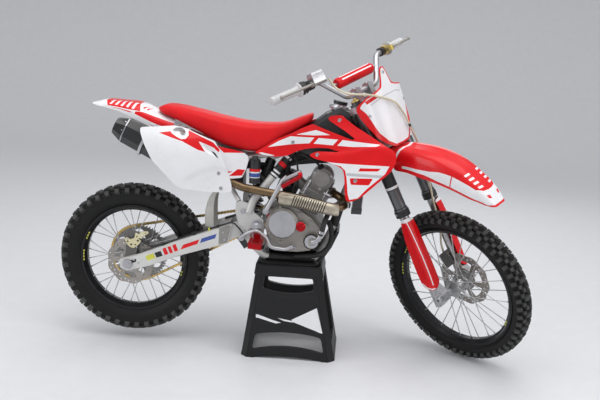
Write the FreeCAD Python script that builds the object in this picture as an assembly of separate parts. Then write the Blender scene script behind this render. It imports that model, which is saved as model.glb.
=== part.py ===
# Small four-stroke motocross bike, 19 inch front and 16 inch rear wheel, on a moulded paddock stand.
# Millimetres. X forward, Y to the rider's left, Z up. The origin is on the floor under the stand's middle.
import FreeCAD, Part
import math
import os

V = FreeCAD.Vector

# Overall layout
WHEELBASE = 1285.0
STAND_TO_REAR_AXLE = 636.0
REAR_AXLE_HEIGHT = 331.6
FRONT_AXLE_HEIGHT = 315.5
RAKE = 26.3
FORK_OFFSET = 58.9
STEER_LOCK = 43.4
CRADLE_REST_HEIGHT = 372.4

# Wheels
REAR_TYRE_R = 299.0
REAR_TYRE_W = 98.0
REAR_BEAD_R = 203.2
REAR_RIM_W = 53.0
FRONT_TYRE_R = 314.0
FRONT_TYRE_W = 76.0
FRONT_BEAD_R = 241.3
FRONT_RIM_W = 44.0
SPOKE_R = 1.75
SPOKE_COUNT = 32
AXLE_R = 8.0
SPACER_R = 13.0
FIT = 0.3
RUNNING_GAP = 2.0

# Brakes and drive
FRONT_DISC_R = 110.0
FRONT_DISC_Y = 58.0
REAR_DISC_R = 95.0
REAR_DISC_Y = -62.0
DISC_T = 3.5
CHAIN_Y = 62.0
CHAIN_PITCH = 12.7
REAR_TEETH = 56
FRONT_TEETH = 13
SPROCKET_T = 5.6
CHAIN_HALF_GAP = 3.4
CHAIN_HALF_W = 6.6
CHAIN_HALF_H = 6.0
DRIVE_SHAFT_X = -85.0
DRIVE_SHAFT_Z = 535.0

# Fork
FORK_HALF_SPAN = 87.0
FORK_LEAD = 30.0
FORK_TUBE_R = 24.0
FORK_LEG_R = 18.5
FORK_TUBE_LOW = 345.0
FORK_TOP = 800.0
LOWER_CLAMP_U = 600.0
LOWER_CLAMP_T = 32.0
TOP_CLAMP_U = 768.0
TOP_CLAMP_T = 24.0
STEM_R = 16.0
HEAD_TUBE_R = 26.0

# Handlebar
BAR_R = 11.1
BAR_HALF_W = 369.0
BAR_SWEEP = -62.4
BAR_END_U = 933.7
HOSE_R = 4.0
GRIP_R = 15.5
GRIP_LENGTH = 112.0
BAR_CLAMP_U = 832.0

# Frame and swingarm
TUBE_R = 15.0
PIVOT_X = -140.0
PIVOT_Z = 514.0
PIVOT_PLATE_Y = 98.0
PIVOT_PLATE_T = 10.0
ARM_INNER_Y = 84.0
ARM_T = 22.0

# Stand
STAND_BASE_X = 179.0
STAND_BASE_Y = 145.0
STAND_TOP_REAR = -132.0
STAND_TOP_FRONT = 108.0
STAND_TOP_Y = 120.0
STAND_HEIGHT = 368.0
STAND_WALL = 14.0
STAND_PAD_T = 4.0

REAR_AXLE = V(-STAND_TO_REAR_AXLE, 0, REAR_AXLE_HEIGHT)
FRONT_AXLE = V(WHEELBASE - STAND_TO_REAR_AXLE, 0, FRONT_AXLE_HEIGHT)
STEER_UP = V(-math.sin(math.radians(RAKE)), 0, math.cos(math.radians(RAKE)))
STEER_AHEAD = V(math.cos(math.radians(RAKE)), 0, math.sin(math.radians(RAKE)))
STEER_BASE = FRONT_AXLE - STEER_AHEAD * FORK_OFFSET


# Building blocks

def steer_point(ahead, up, y=0.0):
    """A point of the front end with the bars straight: ahead of and up along the steering axis."""
    return STEER_BASE + STEER_AHEAD * ahead + STEER_UP * up + V(0, y, 0)


def mirrored(shape):
    return shape.mirror(V(0, 0, 0), V(0, 1, 0))


def both_sides(shape):
    return Part.makeCompound([shape, mirrored(shape)])


def fused(first, others):
    return first.multiFuse(others)


def at_x(start, end, x):
    """The point of a straight run that lies at x."""
    return start + (end - start) * ((x - start.x) / (end.x - start.x))


def at_z(start, end, z):
    """The point of a straight run that lies at height z."""
    return start + (end - start) * ((z - start.z) / (end.z - start.z))


def rod(start, end, radius):
    axis = end - start
    return Part.makeCylinder(radius, axis.Length, start, axis)


def sleeve(start, end, outer, inner):
    return rod(start, end, outer).cut(rod(start, end, inner))


def cone(start, end, r_start, r_end):
    axis = end - start
    return Part.makeCone(r_start, r_end, axis.Length, start, axis)


def slab(points, thickness):
    """A flat polygon, extruded along its thickness vector."""
    return Part.Face(Part.makePolygon(points + points[:1])).extrude(thickness)


def side_slab(outline, y_from, y_to):
    """An outline of (x, z) points, extruded across the bike."""
    return slab([V(x, y_from, z) for x, z in outline], V(0, y_to - y_from, 0))


def loft(sections, ruled=True):
    return Part.makeLoft([Part.makePolygon(s + s[:1]) for s in sections], True, ruled)


def box(low, high):
    size = high - low
    return Part.makeBox(size.x, size.y, size.z, low)


def bent_tube(points, radius, bend):
    """A round tube along straight runs joined by tangent arcs."""
    edges = []
    last = points[0]
    for before, corner, after in zip(points, points[1:], points[2:]):
        back = (before - corner).normalize()
        ahead = (after - corner).normalize()
        half = math.acos(max(-1.0, min(1.0, back.dot(ahead)))) / 2
        room = 0.48 * min((before - corner).Length, (after - corner).Length)
        reach = min(bend / math.tan(half), room)
        arc_in = corner + back * reach
        arc_out = corner + ahead * reach
        arc_r = reach * math.tan(half)
        bisector = (back + ahead).normalize()
        middle = corner + bisector * (arc_r / math.sin(half) - arc_r)
        edges.append(Part.LineSegment(last, arc_in).toShape())
        edges.append(Part.Arc(arc_in, middle, arc_out).toShape())
        last = arc_out
    edges.append(Part.LineSegment(last, points[-1]).toShape())
    start_direction = points[1] - points[0]
    section = Part.Wire(Part.makeCircle(radius, points[0], start_direction))
    return Part.Wire(edges).makePipeShell([section], True, True)


def turned(profile, centre):
    """A closed (y, r) profile turned about an axis across the bike through the centre."""
    points = [V(0, y, r) for y, r in profile]
    face = Part.Face(Part.makePolygon(points + points[:1]))
    return face.revolve(V(0, 0, 0), V(0, 1, 0), 360).translate(centre)


def disc(centre, y_from, y_to, outer, inner=0.0):
    start = centre + V(0, y_from, 0)
    end = centre + V(0, y_to, 0)
    return sleeve(start, end, outer, inner) if inner else rod(start, end, outer)


def steered(shape):
    """The front end stands on its right-hand steering stop."""
    return shape.rotate(STEER_BASE, STEER_UP, -STEER_LOCK)


# Wheels

def tyre(radius, width, bead_r, rim_w, centre):
    """A hollow carcass, open at the beads that sit in the rim."""
    half = width / 2
    heel = rim_w / 2 - 3.3
    outside = [(heel, bead_r + 1.6), (heel, bead_r + 11.4), (half * 0.72, bead_r + 15),
               (half * 0.94, bead_r + 0.45 * (radius - bead_r)), (half, radius - 24), (half * 0.86, radius - 11),
               (half * 0.5, radius - 2.5)]
    inside = [(half * 0.42, radius - 21), (half * 0.74, radius - 30),
              (half * 0.8, bead_r + 0.5 * (radius - bead_r)), (half * 0.56, bead_r + 21),
              (heel - 9, bead_r + 12), (heel - 9, bead_r + 1.6)]
    profile = outside + [(0, radius)] + [(-y, r) for y, r in reversed(outside)]
    profile += [(-y, r) for y, r in reversed(inside)] + [(0, radius - 19)] + inside
    return turned(profile, centre)


def rim(bead_r, rim_w, centre):
    half = rim_w / 2
    outer = [(half, bead_r + 11), (half - 3, bead_r + 11), (half - 3, bead_r + 1.3), (half - 14, bead_r - 1),
             (9, bead_r - 7)]
    inner = [(9, bead_r - 11), (half - 10, bead_r - 5), (half, bead_r + 1.5)]
    right_outer = [(-y, r) for y, r in reversed(outer)]
    right_inner = [(-y, r) for y, r in reversed(inner)]
    return turned(outer + right_outer + right_inner + inner, centre)


def spokes(bead_r, flange_r, flange_y, centre):
    """Crossed spokes, one in two leaning forward on the outside of its flange."""
    rim_r = bead_r - 12
    solids = []
    for index in range(SPOKE_COUNT):
        side = 1 if index % 2 else -1
        lean = 1 if (index // 2) % 2 else -1
        at_rim = 2 * math.pi * (index + 0.5) / SPOKE_COUNT
        at_hub = at_rim + lean * math.radians(58)
        y_hub = side * (flange_y + lean * (SPOKE_R + 2.4))
        start = centre + V(flange_r * math.cos(at_hub), y_hub, flange_r * math.sin(at_hub))
        end = centre + V(rim_r * math.cos(at_rim), side * 4.0, rim_r * math.sin(at_rim))
        solids.append(rod(start, end, SPOKE_R))
    return solids


def front_hub():
    disc_seat = FRONT_DISC_Y - DISC_T / 2 - FIT
    profile = [(-34, AXLE_R + FIT), (-34, 15), (-30, 15), (-30, 19), (-28, 19), (-28, 35), (-24, 35), (-22, 20),
               (0, 17.5), (22, 22), (24, 35), (28, 35), (28, 25), (disc_seat - 6, 25), (disc_seat - 6, 42),
               (disc_seat, 42), (disc_seat, AXLE_R + FIT)]
    return fused(turned(profile, FRONT_AXLE), spokes(FRONT_BEAD_R, 31, 26, FRONT_AXLE))


def rear_hub():
    disc_seat = REAR_DISC_Y + DISC_T / 2 + FIT
    sprocket_seat = CHAIN_Y - SPROCKET_T / 2 - FIT
    profile = [(disc_seat, AXLE_R + FIT), (disc_seat, 42), (disc_seat + 6, 42), (disc_seat + 6, 30), (-36, 30),
               (-36, 42), (-32, 42), (-30, 27), (0, 24), (30, 27), (32, 42), (36, 42), (36, 36),
               (sprocket_seat, 36), (sprocket_seat, AXLE_R + FIT)]
    return fused(turned(profile, REAR_AXLE), spokes(REAR_BEAD_R, 38, 34, REAR_AXLE))


def brake_disc(centre, y, outer, band, hub_r, arms):
    """A brake ring on arms, bolted to the hub."""
    low = y - DISC_T / 2
    high = y + DISC_T / 2
    shape = disc(centre, low, high, outer, outer - band)
    shape = shape.fuse(disc(centre, low, high, hub_r, hub_r - 12))
    for index in range(arms):
        turn = 360.0 * index / arms
        arm = box(V(hub_r - 5, low, -5), V(outer - band + 4, high, 5))
        arm.rotate(V(0, 0, 0), V(0, 1, 0), turn)
        arm.translate(centre)
        shape = shape.fuse(arm)
    return shape


def pitch_radius(teeth):
    return CHAIN_PITCH / (2 * math.sin(math.pi / teeth))


def sprocket(centre, teeth, y, bore):
    tip = pitch_radius(teeth) + 3.6
    root = pitch_radius(teeth) - 3.6
    points = []
    for tooth in range(teeth):
        start = 2 * math.pi * tooth / teeth
        for share, radius in ((0.0, root), (0.34, root), (0.58, tip), (0.76, tip)):
            angle = start + 2 * math.pi * share / teeth
            points.append((centre.x + radius * math.cos(angle), centre.z + radius * math.sin(angle)))
    plate = side_slab(points, y - SPROCKET_T / 2, y + SPROCKET_T / 2)
    return plate.cut(disc(centre, y - SPROCKET_T, y + SPROCKET_T, bore))


def rear_sprocket():
    plate = sprocket(REAR_AXLE, REAR_TEETH, CHAIN_Y, 22.0)
    for index in range(6):
        angle = math.radians(60 * index + 30)
        window = REAR_AXLE + V(78 * math.cos(angle), 0, 78 * math.sin(angle))
        plate = plate.cut(disc(window, CHAIN_Y - 10, CHAIN_Y + 10, 21))
    return plate


# Stand

def stand_loft(inset, low, high):
    """The stand's tapered block between two heights, drawn in from its outside all round."""
    sections = []
    for z in (low, high):
        share = z / STAND_HEIGHT
        rear = -STAND_BASE_X + (STAND_TOP_REAR + STAND_BASE_X) * share + inset
        front = STAND_BASE_X + (STAND_TOP_FRONT - STAND_BASE_X) * share - inset
        half = STAND_BASE_Y + (STAND_TOP_Y - STAND_BASE_Y) * share - inset
        corner = 22.0
        sections.append([V(rear + corner, -half, z), V(front - corner, -half, z), V(front, -half + corner, z),
                         V(front, half - corner, z), V(front - corner, half, z), V(rear + corner, half, z),
                         V(rear, half - corner, z), V(rear, -half + corner, z)])
    return loft(sections)


def rounded_window(low_left, low_right, top_left, top_right, z_low, z_high, corner):
    """A four-sided window outline with its corners cut off, as (across, z) points."""
    corners = [(low_left, z_low), (low_right, z_low), (top_right, z_high), (top_left, z_high)]
    outline = []
    for index, point in enumerate(corners):
        for other in (corners[index - 1], corners[(index + 1) % 4]):
            length = math.hypot(other[0] - point[0], other[1] - point[1])
            outline.append((point[0] + (other[0] - point[0]) * corner / length,
                            point[1] + (other[1] - point[1]) * corner / length))
    return outline


def stand():
    """A moulded tapered box with big windows, feet and a ribbed rubber top that the frame rests on."""
    shell = stand_loft(0, 0, STAND_HEIGHT).cut(stand_loft(STAND_WALL, -1, STAND_HEIGHT - STAND_WALL))
    reach = STAND_BASE_Y + 20
    upper = rounded_window(-110, 92, -102, 84, 272, 322, 14)
    lower = rounded_window(-146, 146, -128, 124, 34, 100, 22)
    for outline in (upper, lower):
        shell = shell.cut(side_slab(outline, -reach, reach))
    end_window = rounded_window(-96, 96, -78, 78, 60, 300, 26)
    end_cut = slab([V(-STAND_BASE_X - 20, y, z) for y, z in end_window], V(2 * STAND_BASE_X + 40, 0, 0))
    shell = shell.cut(end_cut)
    foot_arch = rounded_window(-128, 128, -110, 110, -10, 12, 8)
    shell = shell.cut(side_slab(foot_arch, -reach, reach))
    low = STAND_HEIGHT
    top = low + STAND_PAD_T
    pad = box(V(STAND_TOP_REAR + 14, -STAND_TOP_Y + 14, low), V(STAND_TOP_FRONT - 14, STAND_TOP_Y - 14, top))
    for index in range(9):
        y = -88 + 22 * index
        pad = pad.cut(box(V(STAND_TOP_REAR, y - 3, low + 2), V(STAND_TOP_FRONT, y + 3, top + 1)))
    return shell.fuse(pad)


# Frame

CRADLE_TUBE_R = 13.0
CRADLE_Z = CRADLE_REST_HEIGHT + CRADLE_TUBE_R
BACKBONE_END = V(-12, 0, 806)
SEAT_TUBE_TOP_Y = 38.0
SHOCK_TOP = V(-98, 0, 772)
SHOCK_FOOT = V(-212, 0, 450)
DOWN_TUBE_R = 17.0
DOWN_TUBE = [steer_point(-12, 690), V(172, 0, 600), V(146, 0, 500)]
RAIL_R = 10.0
RAIL = [V(-20, 44, 800), V(-200, 50, 758), V(-456, 56, 846)]
STRUT_R = 9.0
STRUT = [V(-212, 96, 602), V(-250, 60, 650), V(-430, 50, 834)]


def main_frame():
    """Head tube, backbone, one down tube, twin cradle, seat tubes, pivot plates and the rear rails."""
    head = rod(steer_point(0, LOWER_CLAMP_U + LOWER_CLAMP_T + FIT), steer_point(0, TOP_CLAMP_U - FIT), HEAD_TUBE_R)
    backbone = rod(steer_point(-8, 700), BACKBONE_END, 21)
    down_tube = bent_tube(DOWN_TUBE, DOWN_TUBE_R, 120)
    bridge = rod(BACKBONE_END + V(2, -SEAT_TUBE_TOP_Y, 0), BACKBONE_END + V(2, SEAT_TUBE_TOP_Y, 0), TUBE_R)
    tubes = [backbone, down_tube, bridge]
    for side in (-1, 1):
        plate_y = side * PIVOT_PLATE_Y
        tubes.append(bent_tube([V(-172, plate_y, 560), V(-160, side * 90, 606),
                                BACKBONE_END + V(2, side * SEAT_TUBE_TOP_Y, 0)], TUBE_R, 60))
        tubes.append(bent_tube([V(148, side * 4, 506), V(124, side * 58, 446), V(88, side * 62, CRADLE_Z),
                                V(-110, side * 70, CRADLE_Z), V(-166, plate_y, 446), V(-172, plate_y, 500)],
                               CRADLE_TUBE_R, 50))
        tubes.append(side_slab([(-223, 596), (-208, 604), (-160, 592), (-152, 560), (-116, 536), (-112, 500),
                                (-118, 452), (-180, 452), (-206, 500), (-224, 560)],
                               plate_y - PIVOT_PLATE_T / 2, plate_y + PIVOT_PLATE_T / 2))
        tubes.append(side_slab([(-36, 812), (-14, 792), (-92, 756), (-112, 766), (-104, 786)],
                               side * 17.3, side * 23.3))
    tubes += rear_rails()
    frame = head.multiFuse(tubes)
    stem_bore = rod(steer_point(0, LOWER_CLAMP_U), steer_point(0, TOP_CLAMP_U + TOP_CLAMP_T), STEM_R + FIT)
    frame = frame.cut(stem_bore)
    pivot_y = PIVOT_PLATE_Y + 20
    return frame.cut(rod(V(PIVOT_X, -pivot_y, PIVOT_Z), V(PIVOT_X, pivot_y, PIVOT_Z), 9 + FIT))


def rear_rails():
    """The bolted rear frame under the seat."""
    rails = []
    for tube in (bent_tube(RAIL, RAIL_R, 60), bent_tube(STRUT, STRUT_R, 60)):
        rails.append(tube)
        rails.append(mirrored(tube))
    rails.append(rod(V(-440, -58, 842), V(-440, 58, 842), STRUT_R))
    return rails


# Engine

CLUTCH_CENTRE = V(-41, 0, 532)
CRANK_CENTRE = V(44, 0, 496)
CASE_HALF_W = 82.0
KICK_SHAFT = V(-104, 0, 580)
CYLINDER_LEAN = 26.0
CYLINDER_FOOT = V(36, 0, 566)
HEAD_CENTRE = V(96, 0, 702)


def engine_cases():
    outline = [(-112, 590), (-84, 604), (-8, 600), (66, 570), (104, 530), (108, 476), (74, 432), (20, 414),
               (-70, 414), (-106, 440), (-104, 486)]
    cases = side_slab(outline, -CASE_HALF_W, CASE_HALF_W)
    left_cover = disc(CRANK_CENTRE, CASE_HALF_W, CASE_HALF_W + 26, 60)
    sump_rib = side_slab([(-60, 414), (60, 424), (40, 402), (-50, 402)], -36, 36)
    shaft = V(DRIVE_SHAFT_X, 0, DRIVE_SHAFT_Z)
    recess = disc(shaft, CHAIN_Y - 12, CASE_HALF_W + 1, 44)
    recess = recess.fuse(side_slab([(-150, 452), (-85, 492), (-85, 579), (-150, 600)], CHAIN_Y - 12, CASE_HALF_W + 1))
    cases = cases.fuse(left_cover).fuse(sump_rib).cut(recess)
    teeth = sprocket(shaft, FRONT_TEETH, CHAIN_Y, 9)
    return cases.fuse(teeth).fuse(disc(shaft, CHAIN_Y - 13, CHAIN_Y + 8, 12))


def side_covers():
    """The right-hand crankcase cover with its round clutch cover and water pump."""
    inner = -CASE_HALF_W
    outer = inner - 34
    outline = [(-110, 520), (-92, 578), (-44, 602), (12, 590), (66, 556), (104, 510), (100, 462), (66, 432),
               (10, 424), (-44, 446), (-96, 476)]
    cover = side_slab(outline, inner, outer)
    clutch = disc(CLUTCH_CENTRE, outer, outer - 16, 60)
    clutch_face = cone(CLUTCH_CENTRE + V(0, outer - 16, 0), CLUTCH_CENTRE + V(0, outer - 24, 0), 58, 50)
    pump = disc(V(71, 0, 470), outer, outer - 20, 26)
    pump_nose = disc(V(71, 0, 470), outer - 20, outer - 30, 13)
    filler = disc(V(40, 0, 522), outer, outer - 16, 15)
    kick_boss = disc(KICK_SHAFT, inner, outer, 15)
    return cover.multiFuse([clutch, clutch_face, pump, pump_nose, filler, kick_boss])


def along_cylinder(distance):
    lean = math.radians(CYLINDER_LEAN)
    return V(math.sin(lean), 0, math.cos(lean)) * distance


def leaning_block(centre, low, high, half_x, half_y, corner=10.0):
    """A block about the cylinder's leaning axis, with its four long edges cut off."""
    outline = [(half_x - corner, -half_y), (half_x, -half_y + corner), (half_x, half_y - corner),
               (half_x - corner, half_y), (-half_x + corner, half_y), (-half_x, half_y - corner),
               (-half_x, -half_y + corner), (-half_x + corner, -half_y)]
    shape = slab([V(x, y, 0) for x, y in outline], V(0, 0, high - low))
    shape.rotate(V(0, 0, 0), V(0, 1, 0), CYLINDER_LEAN)
    return shape.translate(centre + along_cylinder(low))


AIRBOX_HALF_W = 44.0
EXHAUST_FLANGE = V(140, -22, 640)
INTAKE_FLANGE = V(-14, 0, 690)


def cylinder():
    barrel = leaning_block(CYLINDER_FOOT, -12, 62, 46, 52)
    head = leaning_block(CYLINDER_FOOT, 62, 112, 52, 58, 12)
    cover = leaning_block(CYLINDER_FOOT, 112, 150, 46, 54, 16)
    cover = cover.fuse(leaning_block(CYLINDER_FOOT, 150, 172, 32, 44, 16))
    boss = rod(HEAD_CENTRE + V(0, -66, -4), HEAD_CENTRE + V(0, 40, -4), 42)
    exhaust_port = rod(CYLINDER_FOOT + along_cylinder(84) + V(34, 0, 0), EXHAUST_FLANGE, 21)
    intake_port = rod(CYLINDER_FOOT + along_cylinder(92) - V(40, 0, 0), INTAKE_FLANGE, 22)
    return barrel.fuse(head).fuse(cover).fuse(boss).fuse(exhaust_port).fuse(intake_port)


def intake():
    """Carburettor, the boot that passes the shock, and the air box under the seat."""
    mouth = V(-72, 0, 702)
    carburettor = rod(INTAKE_FLANGE + V(-FIT, 0, 0), mouth, 20)
    carburettor = carburettor.fuse(box(V(-62, -22, 650), V(-24, 22, 700)))
    carburettor = carburettor.fuse(rod(V(-44, 0, 700), V(-44, 0, 738), 15))
    boot = bent_tube([mouth + V(1, 0, 0), V(-86, 14, 704), V(-104, 38, 710), V(-130, 44, 716), V(-208, 40, 722)],
                     15, 30)
    case = side_slab([(-330, 652), (-206, 640), (-206, 744), (-330, 744)], -AIRBOX_HALF_W, AIRBOX_HALF_W)
    case = case.fuse(side_slab([(-330, 744), (-206, 744), (-206, 770), (-330, 790)], -36, 36))
    return carburettor.fuse(boot).fuse(case)


def exhaust():
    """The header leaves the head beside the down tube and runs back along the right side."""
    out = V(46, -40, -18)
    return bent_tube([EXHAUST_FLANGE + V(out).normalize() * FIT, EXHAUST_FLANGE + out, V(188, -110, 606),
                      V(140, -128, 606), V(20, -128, 632), V(-100, -123, 646), V(-200, -98, 656),
                      MUFFLER_MOUTH], 15.5, 45)


MUFFLER_TAIL = V(-686, -98, 866)
MUFFLER_MOUTH = V(-330, -98, 706)


def muffler():
    """A six-sided canister that narrows to its round tail."""
    axis = (MUFFLER_MOUTH - MUFFLER_TAIL).normalize()
    up = V(0, 1, 0).cross(axis).normalize()
    if up.z < 0:
        up = up * -1
    sections = []
    for distance, half_h, half_w in ((0, 30, 27), (42, 47, 31), (290, 58, 34), (330, 50, 30), (389, 19, 19)):
        middle = MUFFLER_TAIL + axis * distance
        corners = [(-0.5, -1), (0.5, -1), (1, -0.45), (1, 0.45), (0.5, 1), (-0.5, 1), (-1, 0.45), (-1, -0.45)]
        sections.append([middle + V(0, half_w * y, 0) + up * (half_h * z) for y, z in corners])
    return loft(sections)


RADIATOR_OUT = 150.0


def radiators():
    core = side_slab([(216, 608), (248, 608), (258, 786), (228, 786)], -RADIATOR_OUT, -86)
    tank_top = side_slab([(226, 786), (260, 786), (260, 800), (228, 800)], -RADIATOR_OUT - 2, -84)
    tank_low = side_slab([(212, 590), (250, 590), (252, 608), (214, 608)], -RADIATOR_OUT - 2, -84)
    radiator = core.fuse(tank_top).fuse(tank_low)
    for z in (690, 765):
        tube = at_z(DOWN_TUBE[1], DOWN_TUBE[0], z)
        radiator = radiator.fuse(rod(tube, V(238, -RADIATOR_OUT + 60, z), 5))
    radiator = radiator.cut(rod(DOWN_TUBE[1], DOWN_TUBE[0], DOWN_TUBE_R + FIT))
    return both_sides(radiator)


# Rear suspension

def swingarm():
    inner = ARM_INNER_Y
    outer = inner + ARM_T
    arm = side_slab([(-668, 346), (-592, 371), (-436, 438), (-290, 493), (-236, 512), (-250, 436), (-288, 424),
                     (-436, 376), (-552, 328), (-640, 302), (-668, 314)], inner, outer)
    axle_slot = side_slab([(-662, 340), (-600, 364), (-596, 344), (-658, 320)], outer - 4, outer + 5)
    arm = arm.cut(axle_slot)
    yoke = side_slab([(-262, 434), (-254, 506), (-160, 532), (-120, 530), (-118, 498), (-160, 488)], 60, 82)
    shoulder = side_slab([(-292, 428), (-290, 492), (-238, 510), (-250, 438)], 60, inner + 2)
    shape = arm.fuse(yoke).fuse(shoulder)
    shape = shape.fuse(mirrored(shape))
    cross = side_slab([(-300, 470), (-300, 488), (-254, 504), (-254, 440), (-290, 430)], -90, 90)
    shape = shape.fuse(cross)
    bore = rod(V(PIVOT_X, -130, PIVOT_Z), V(PIVOT_X, 130, PIVOT_Z), 9 + FIT)
    axle_hole = rod(REAR_AXLE + V(0, -130, 0), REAR_AXLE + V(0, 130, 0), AXLE_R + FIT)
    return shape.cut(bore).cut(axle_hole)


def rear_axle():
    """Axle with nut, spacers and chain adjusters, and the swingarm pivot bolt."""
    outer = ARM_INNER_Y + ARM_T
    axle = rod(REAR_AXLE + V(0, -outer - 12, 0), REAR_AXLE + V(0, outer + 12, 0), AXLE_R)
    hub_ends = {-1: REAR_DISC_Y + DISC_T / 2, 1: CHAIN_Y - SPROCKET_T / 2}
    for side, hub_end in hub_ends.items():
        axle = axle.fuse(disc(REAR_AXLE, side * (ARM_INNER_Y - 0.2), hub_end, SPACER_R))
        axle = axle.fuse(disc(REAR_AXLE, side * (outer + 0.2), side * (outer + 9), 14))
    bolt = rod(V(PIVOT_X, -114, PIVOT_Z), V(PIVOT_X, 114, PIVOT_Z), 9)
    for side in (-1, 1):
        plate_face = side * (PIVOT_PLATE_Y + PIVOT_PLATE_T / 2 + 0.2)
        bolt = bolt.fuse(rod(V(PIVOT_X, plate_face, PIVOT_Z), V(PIVOT_X, plate_face + side * 12, PIVOT_Z), 21))
    return Part.makeCompound([axle, bolt])


def shock():
    """Damper, spring, side reservoir and the rocker and pull rod under it."""
    axis = (SHOCK_FOOT - SHOCK_TOP).normalize()
    foot = SHOCK_FOOT
    pieces = [rod(SHOCK_TOP + axis * 150, foot, 9), rod(SHOCK_TOP, SHOCK_TOP + axis * 30, 13),
              rod(SHOCK_TOP + V(0, -17, 0), SHOCK_TOP + V(0, 17, 0), 13), rod(foot + V(0, -15, 0), foot + V(0, 15, 0), 14)]
    coil_r = 27.0
    for index in range(9):
        middle = SHOCK_TOP + axis * (92 + index * 23)
        pieces.append(Part.makeTorus(coil_r, 5, middle, axis))
        pieces.append(Part.makeCylinder(coil_r, 3, middle - axis * 1.5, axis))
    pieces.append(rod(V(-158, -82, 672), V(-158, -82, 757), 20))
    pieces.append(bent_tube([V(-158, -66, 744), V(-142, -48, 744), V(-116, -14, 736)], 5, 10))
    rocker = side_slab([(-226, 440), (-196, 460), (-162, 420), (-196, 398)], -27, 27)
    rocker = rocker.cut(side_slab([(-240, 434), (-190, 480), (-176, 436), (-214, 428)], -15.4, 15.4))
    pieces.append(rocker)
    pieces.append(rod(V(-180, 0, 414), V(-120, 0, 400), 9))
    pieces.append(rod(V(-120, -60, 398), V(-120, 60, 398), 7))
    pieces.append(rod(foot + V(0, -28, 0), foot + V(0, 28, 0), 6))
    body = rod(SHOCK_TOP + axis * 18, SHOCK_TOP + axis * 150, 20)
    return body.multiFuse(pieces)


def chain_guide():
    """The rubbing strip on the arm and the guide under it."""
    slider = side_slab([(-290, 492.3), (-254, 506.3), (-238, 511.4), (-238, 516), (-290, 497.5)], 60, 84)
    guide = side_slab([(-470, 280), (-410, 300), (-404, 392), (-436, 388), (-440, 340), (-470, 330)],
                      CHAIN_Y + 9, ARM_INNER_Y - FIT)
    return Part.makeCompound([slider, guide])


def chain_path(offset):
    """The chain's closed loop about its two sprockets, moved out or in by the offset, as a face."""
    rear_r = pitch_radius(REAR_TEETH)
    front_r = pitch_radius(FRONT_TEETH)
    front = V(DRIVE_SHAFT_X, 0, DRIVE_SHAFT_Z)
    line = front - REAR_AXLE
    tilt = math.atan2(line.z, line.x)
    spread = math.acos((rear_r - front_r) / line.Length)
    rear_r += offset
    front_r += offset

    def at(centre, radius, angle):
        return centre + V(radius * math.cos(angle), 0, radius * math.sin(angle))

    top = tilt + spread
    low = tilt - spread
    edges = [Part.LineSegment(at(REAR_AXLE, rear_r, top), at(front, front_r, top)).toShape(),
             Part.Arc(at(front, front_r, top), at(front, front_r, tilt), at(front, front_r, low)).toShape(),
             Part.LineSegment(at(front, front_r, low), at(REAR_AXLE, rear_r, low)).toShape(),
             Part.Arc(at(REAR_AXLE, rear_r, low), at(REAR_AXLE, rear_r, tilt + math.pi),
                      at(REAR_AXLE, rear_r, top)).toShape()]
    return Part.Face(Part.Wire(edges))


def chain():
    """Two rows of side plates, joined by the rollers of the straight runs."""
    band = chain_path(CHAIN_HALF_H).cut(chain_path(-CHAIN_HALF_H))
    plate_t = CHAIN_HALF_W - CHAIN_HALF_GAP
    left = band.extrude(V(0, plate_t, 0)).translate(V(0, CHAIN_Y + CHAIN_HALF_GAP, 0))
    right = band.extrude(V(0, plate_t, 0)).translate(V(0, CHAIN_Y - CHAIN_HALF_W, 0))
    shape = left.fuse(right)
    for start, end in chain_runs():
        run = end - start
        count = int(run.Length / (2 * CHAIN_PITCH))
        for index in range(1, count):
            spot = start + run * (index / count)
            shape = shape.fuse(disc(spot, CHAIN_Y - CHAIN_HALF_GAP - 1, CHAIN_Y + CHAIN_HALF_GAP + 1, 3.9))
    return shape


def chain_runs():
    """The chain's two straight runs, clear of both sprockets."""
    rear_r = pitch_radius(REAR_TEETH)
    front_r = pitch_radius(FRONT_TEETH)
    front = V(DRIVE_SHAFT_X, 0, DRIVE_SHAFT_Z)
    line = front - REAR_AXLE
    tilt = math.atan2(line.z, line.x)
    spread = math.acos((rear_r - front_r) / line.Length)
    runs = []
    for angle in (tilt + spread, tilt - spread):
        start = REAR_AXLE + V(rear_r * math.cos(angle), 0, rear_r * math.sin(angle))
        end = front + V(front_r * math.cos(angle), 0, front_r * math.sin(angle))
        runs.append((start + (end - start) * 0.09, end - (end - start) * 0.06))
    return runs


def rear_caliper():
    slot = DISC_T / 2 + RUNNING_GAP
    block = box(V(-22, REAR_DISC_Y - 17, -24), V(22, REAR_DISC_Y + 14, 26))
    block = block.fuse(box(V(-30, REAR_DISC_Y - 17, -16), V(46, REAR_DISC_Y - slot, 6)))
    block.translate(V(0, 0, REAR_DISC_R - 4))
    hanger = side_slab([(-18, -8), (18, -8), (27, 84), (-22, 84)], -ARM_INNER_Y + FIT, REAR_DISC_Y - 16)
    hanger = hanger.fuse(disc(V(0, 0, 0), -ARM_INNER_Y + FIT, REAR_DISC_Y - 16, 22))
    block = block.fuse(hanger).cut(disc(V(0, 0, 0), -ARM_INNER_Y, 0, SPACER_R + FIT))
    block.rotate(V(0, 0, 0), V(0, 1, 0), 6)
    block.translate(REAR_AXLE)
    return block.cut(disc(REAR_AXLE, REAR_DISC_Y - slot, REAR_DISC_Y + slot, REAR_DISC_R + 6))


# Bodywork

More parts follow.
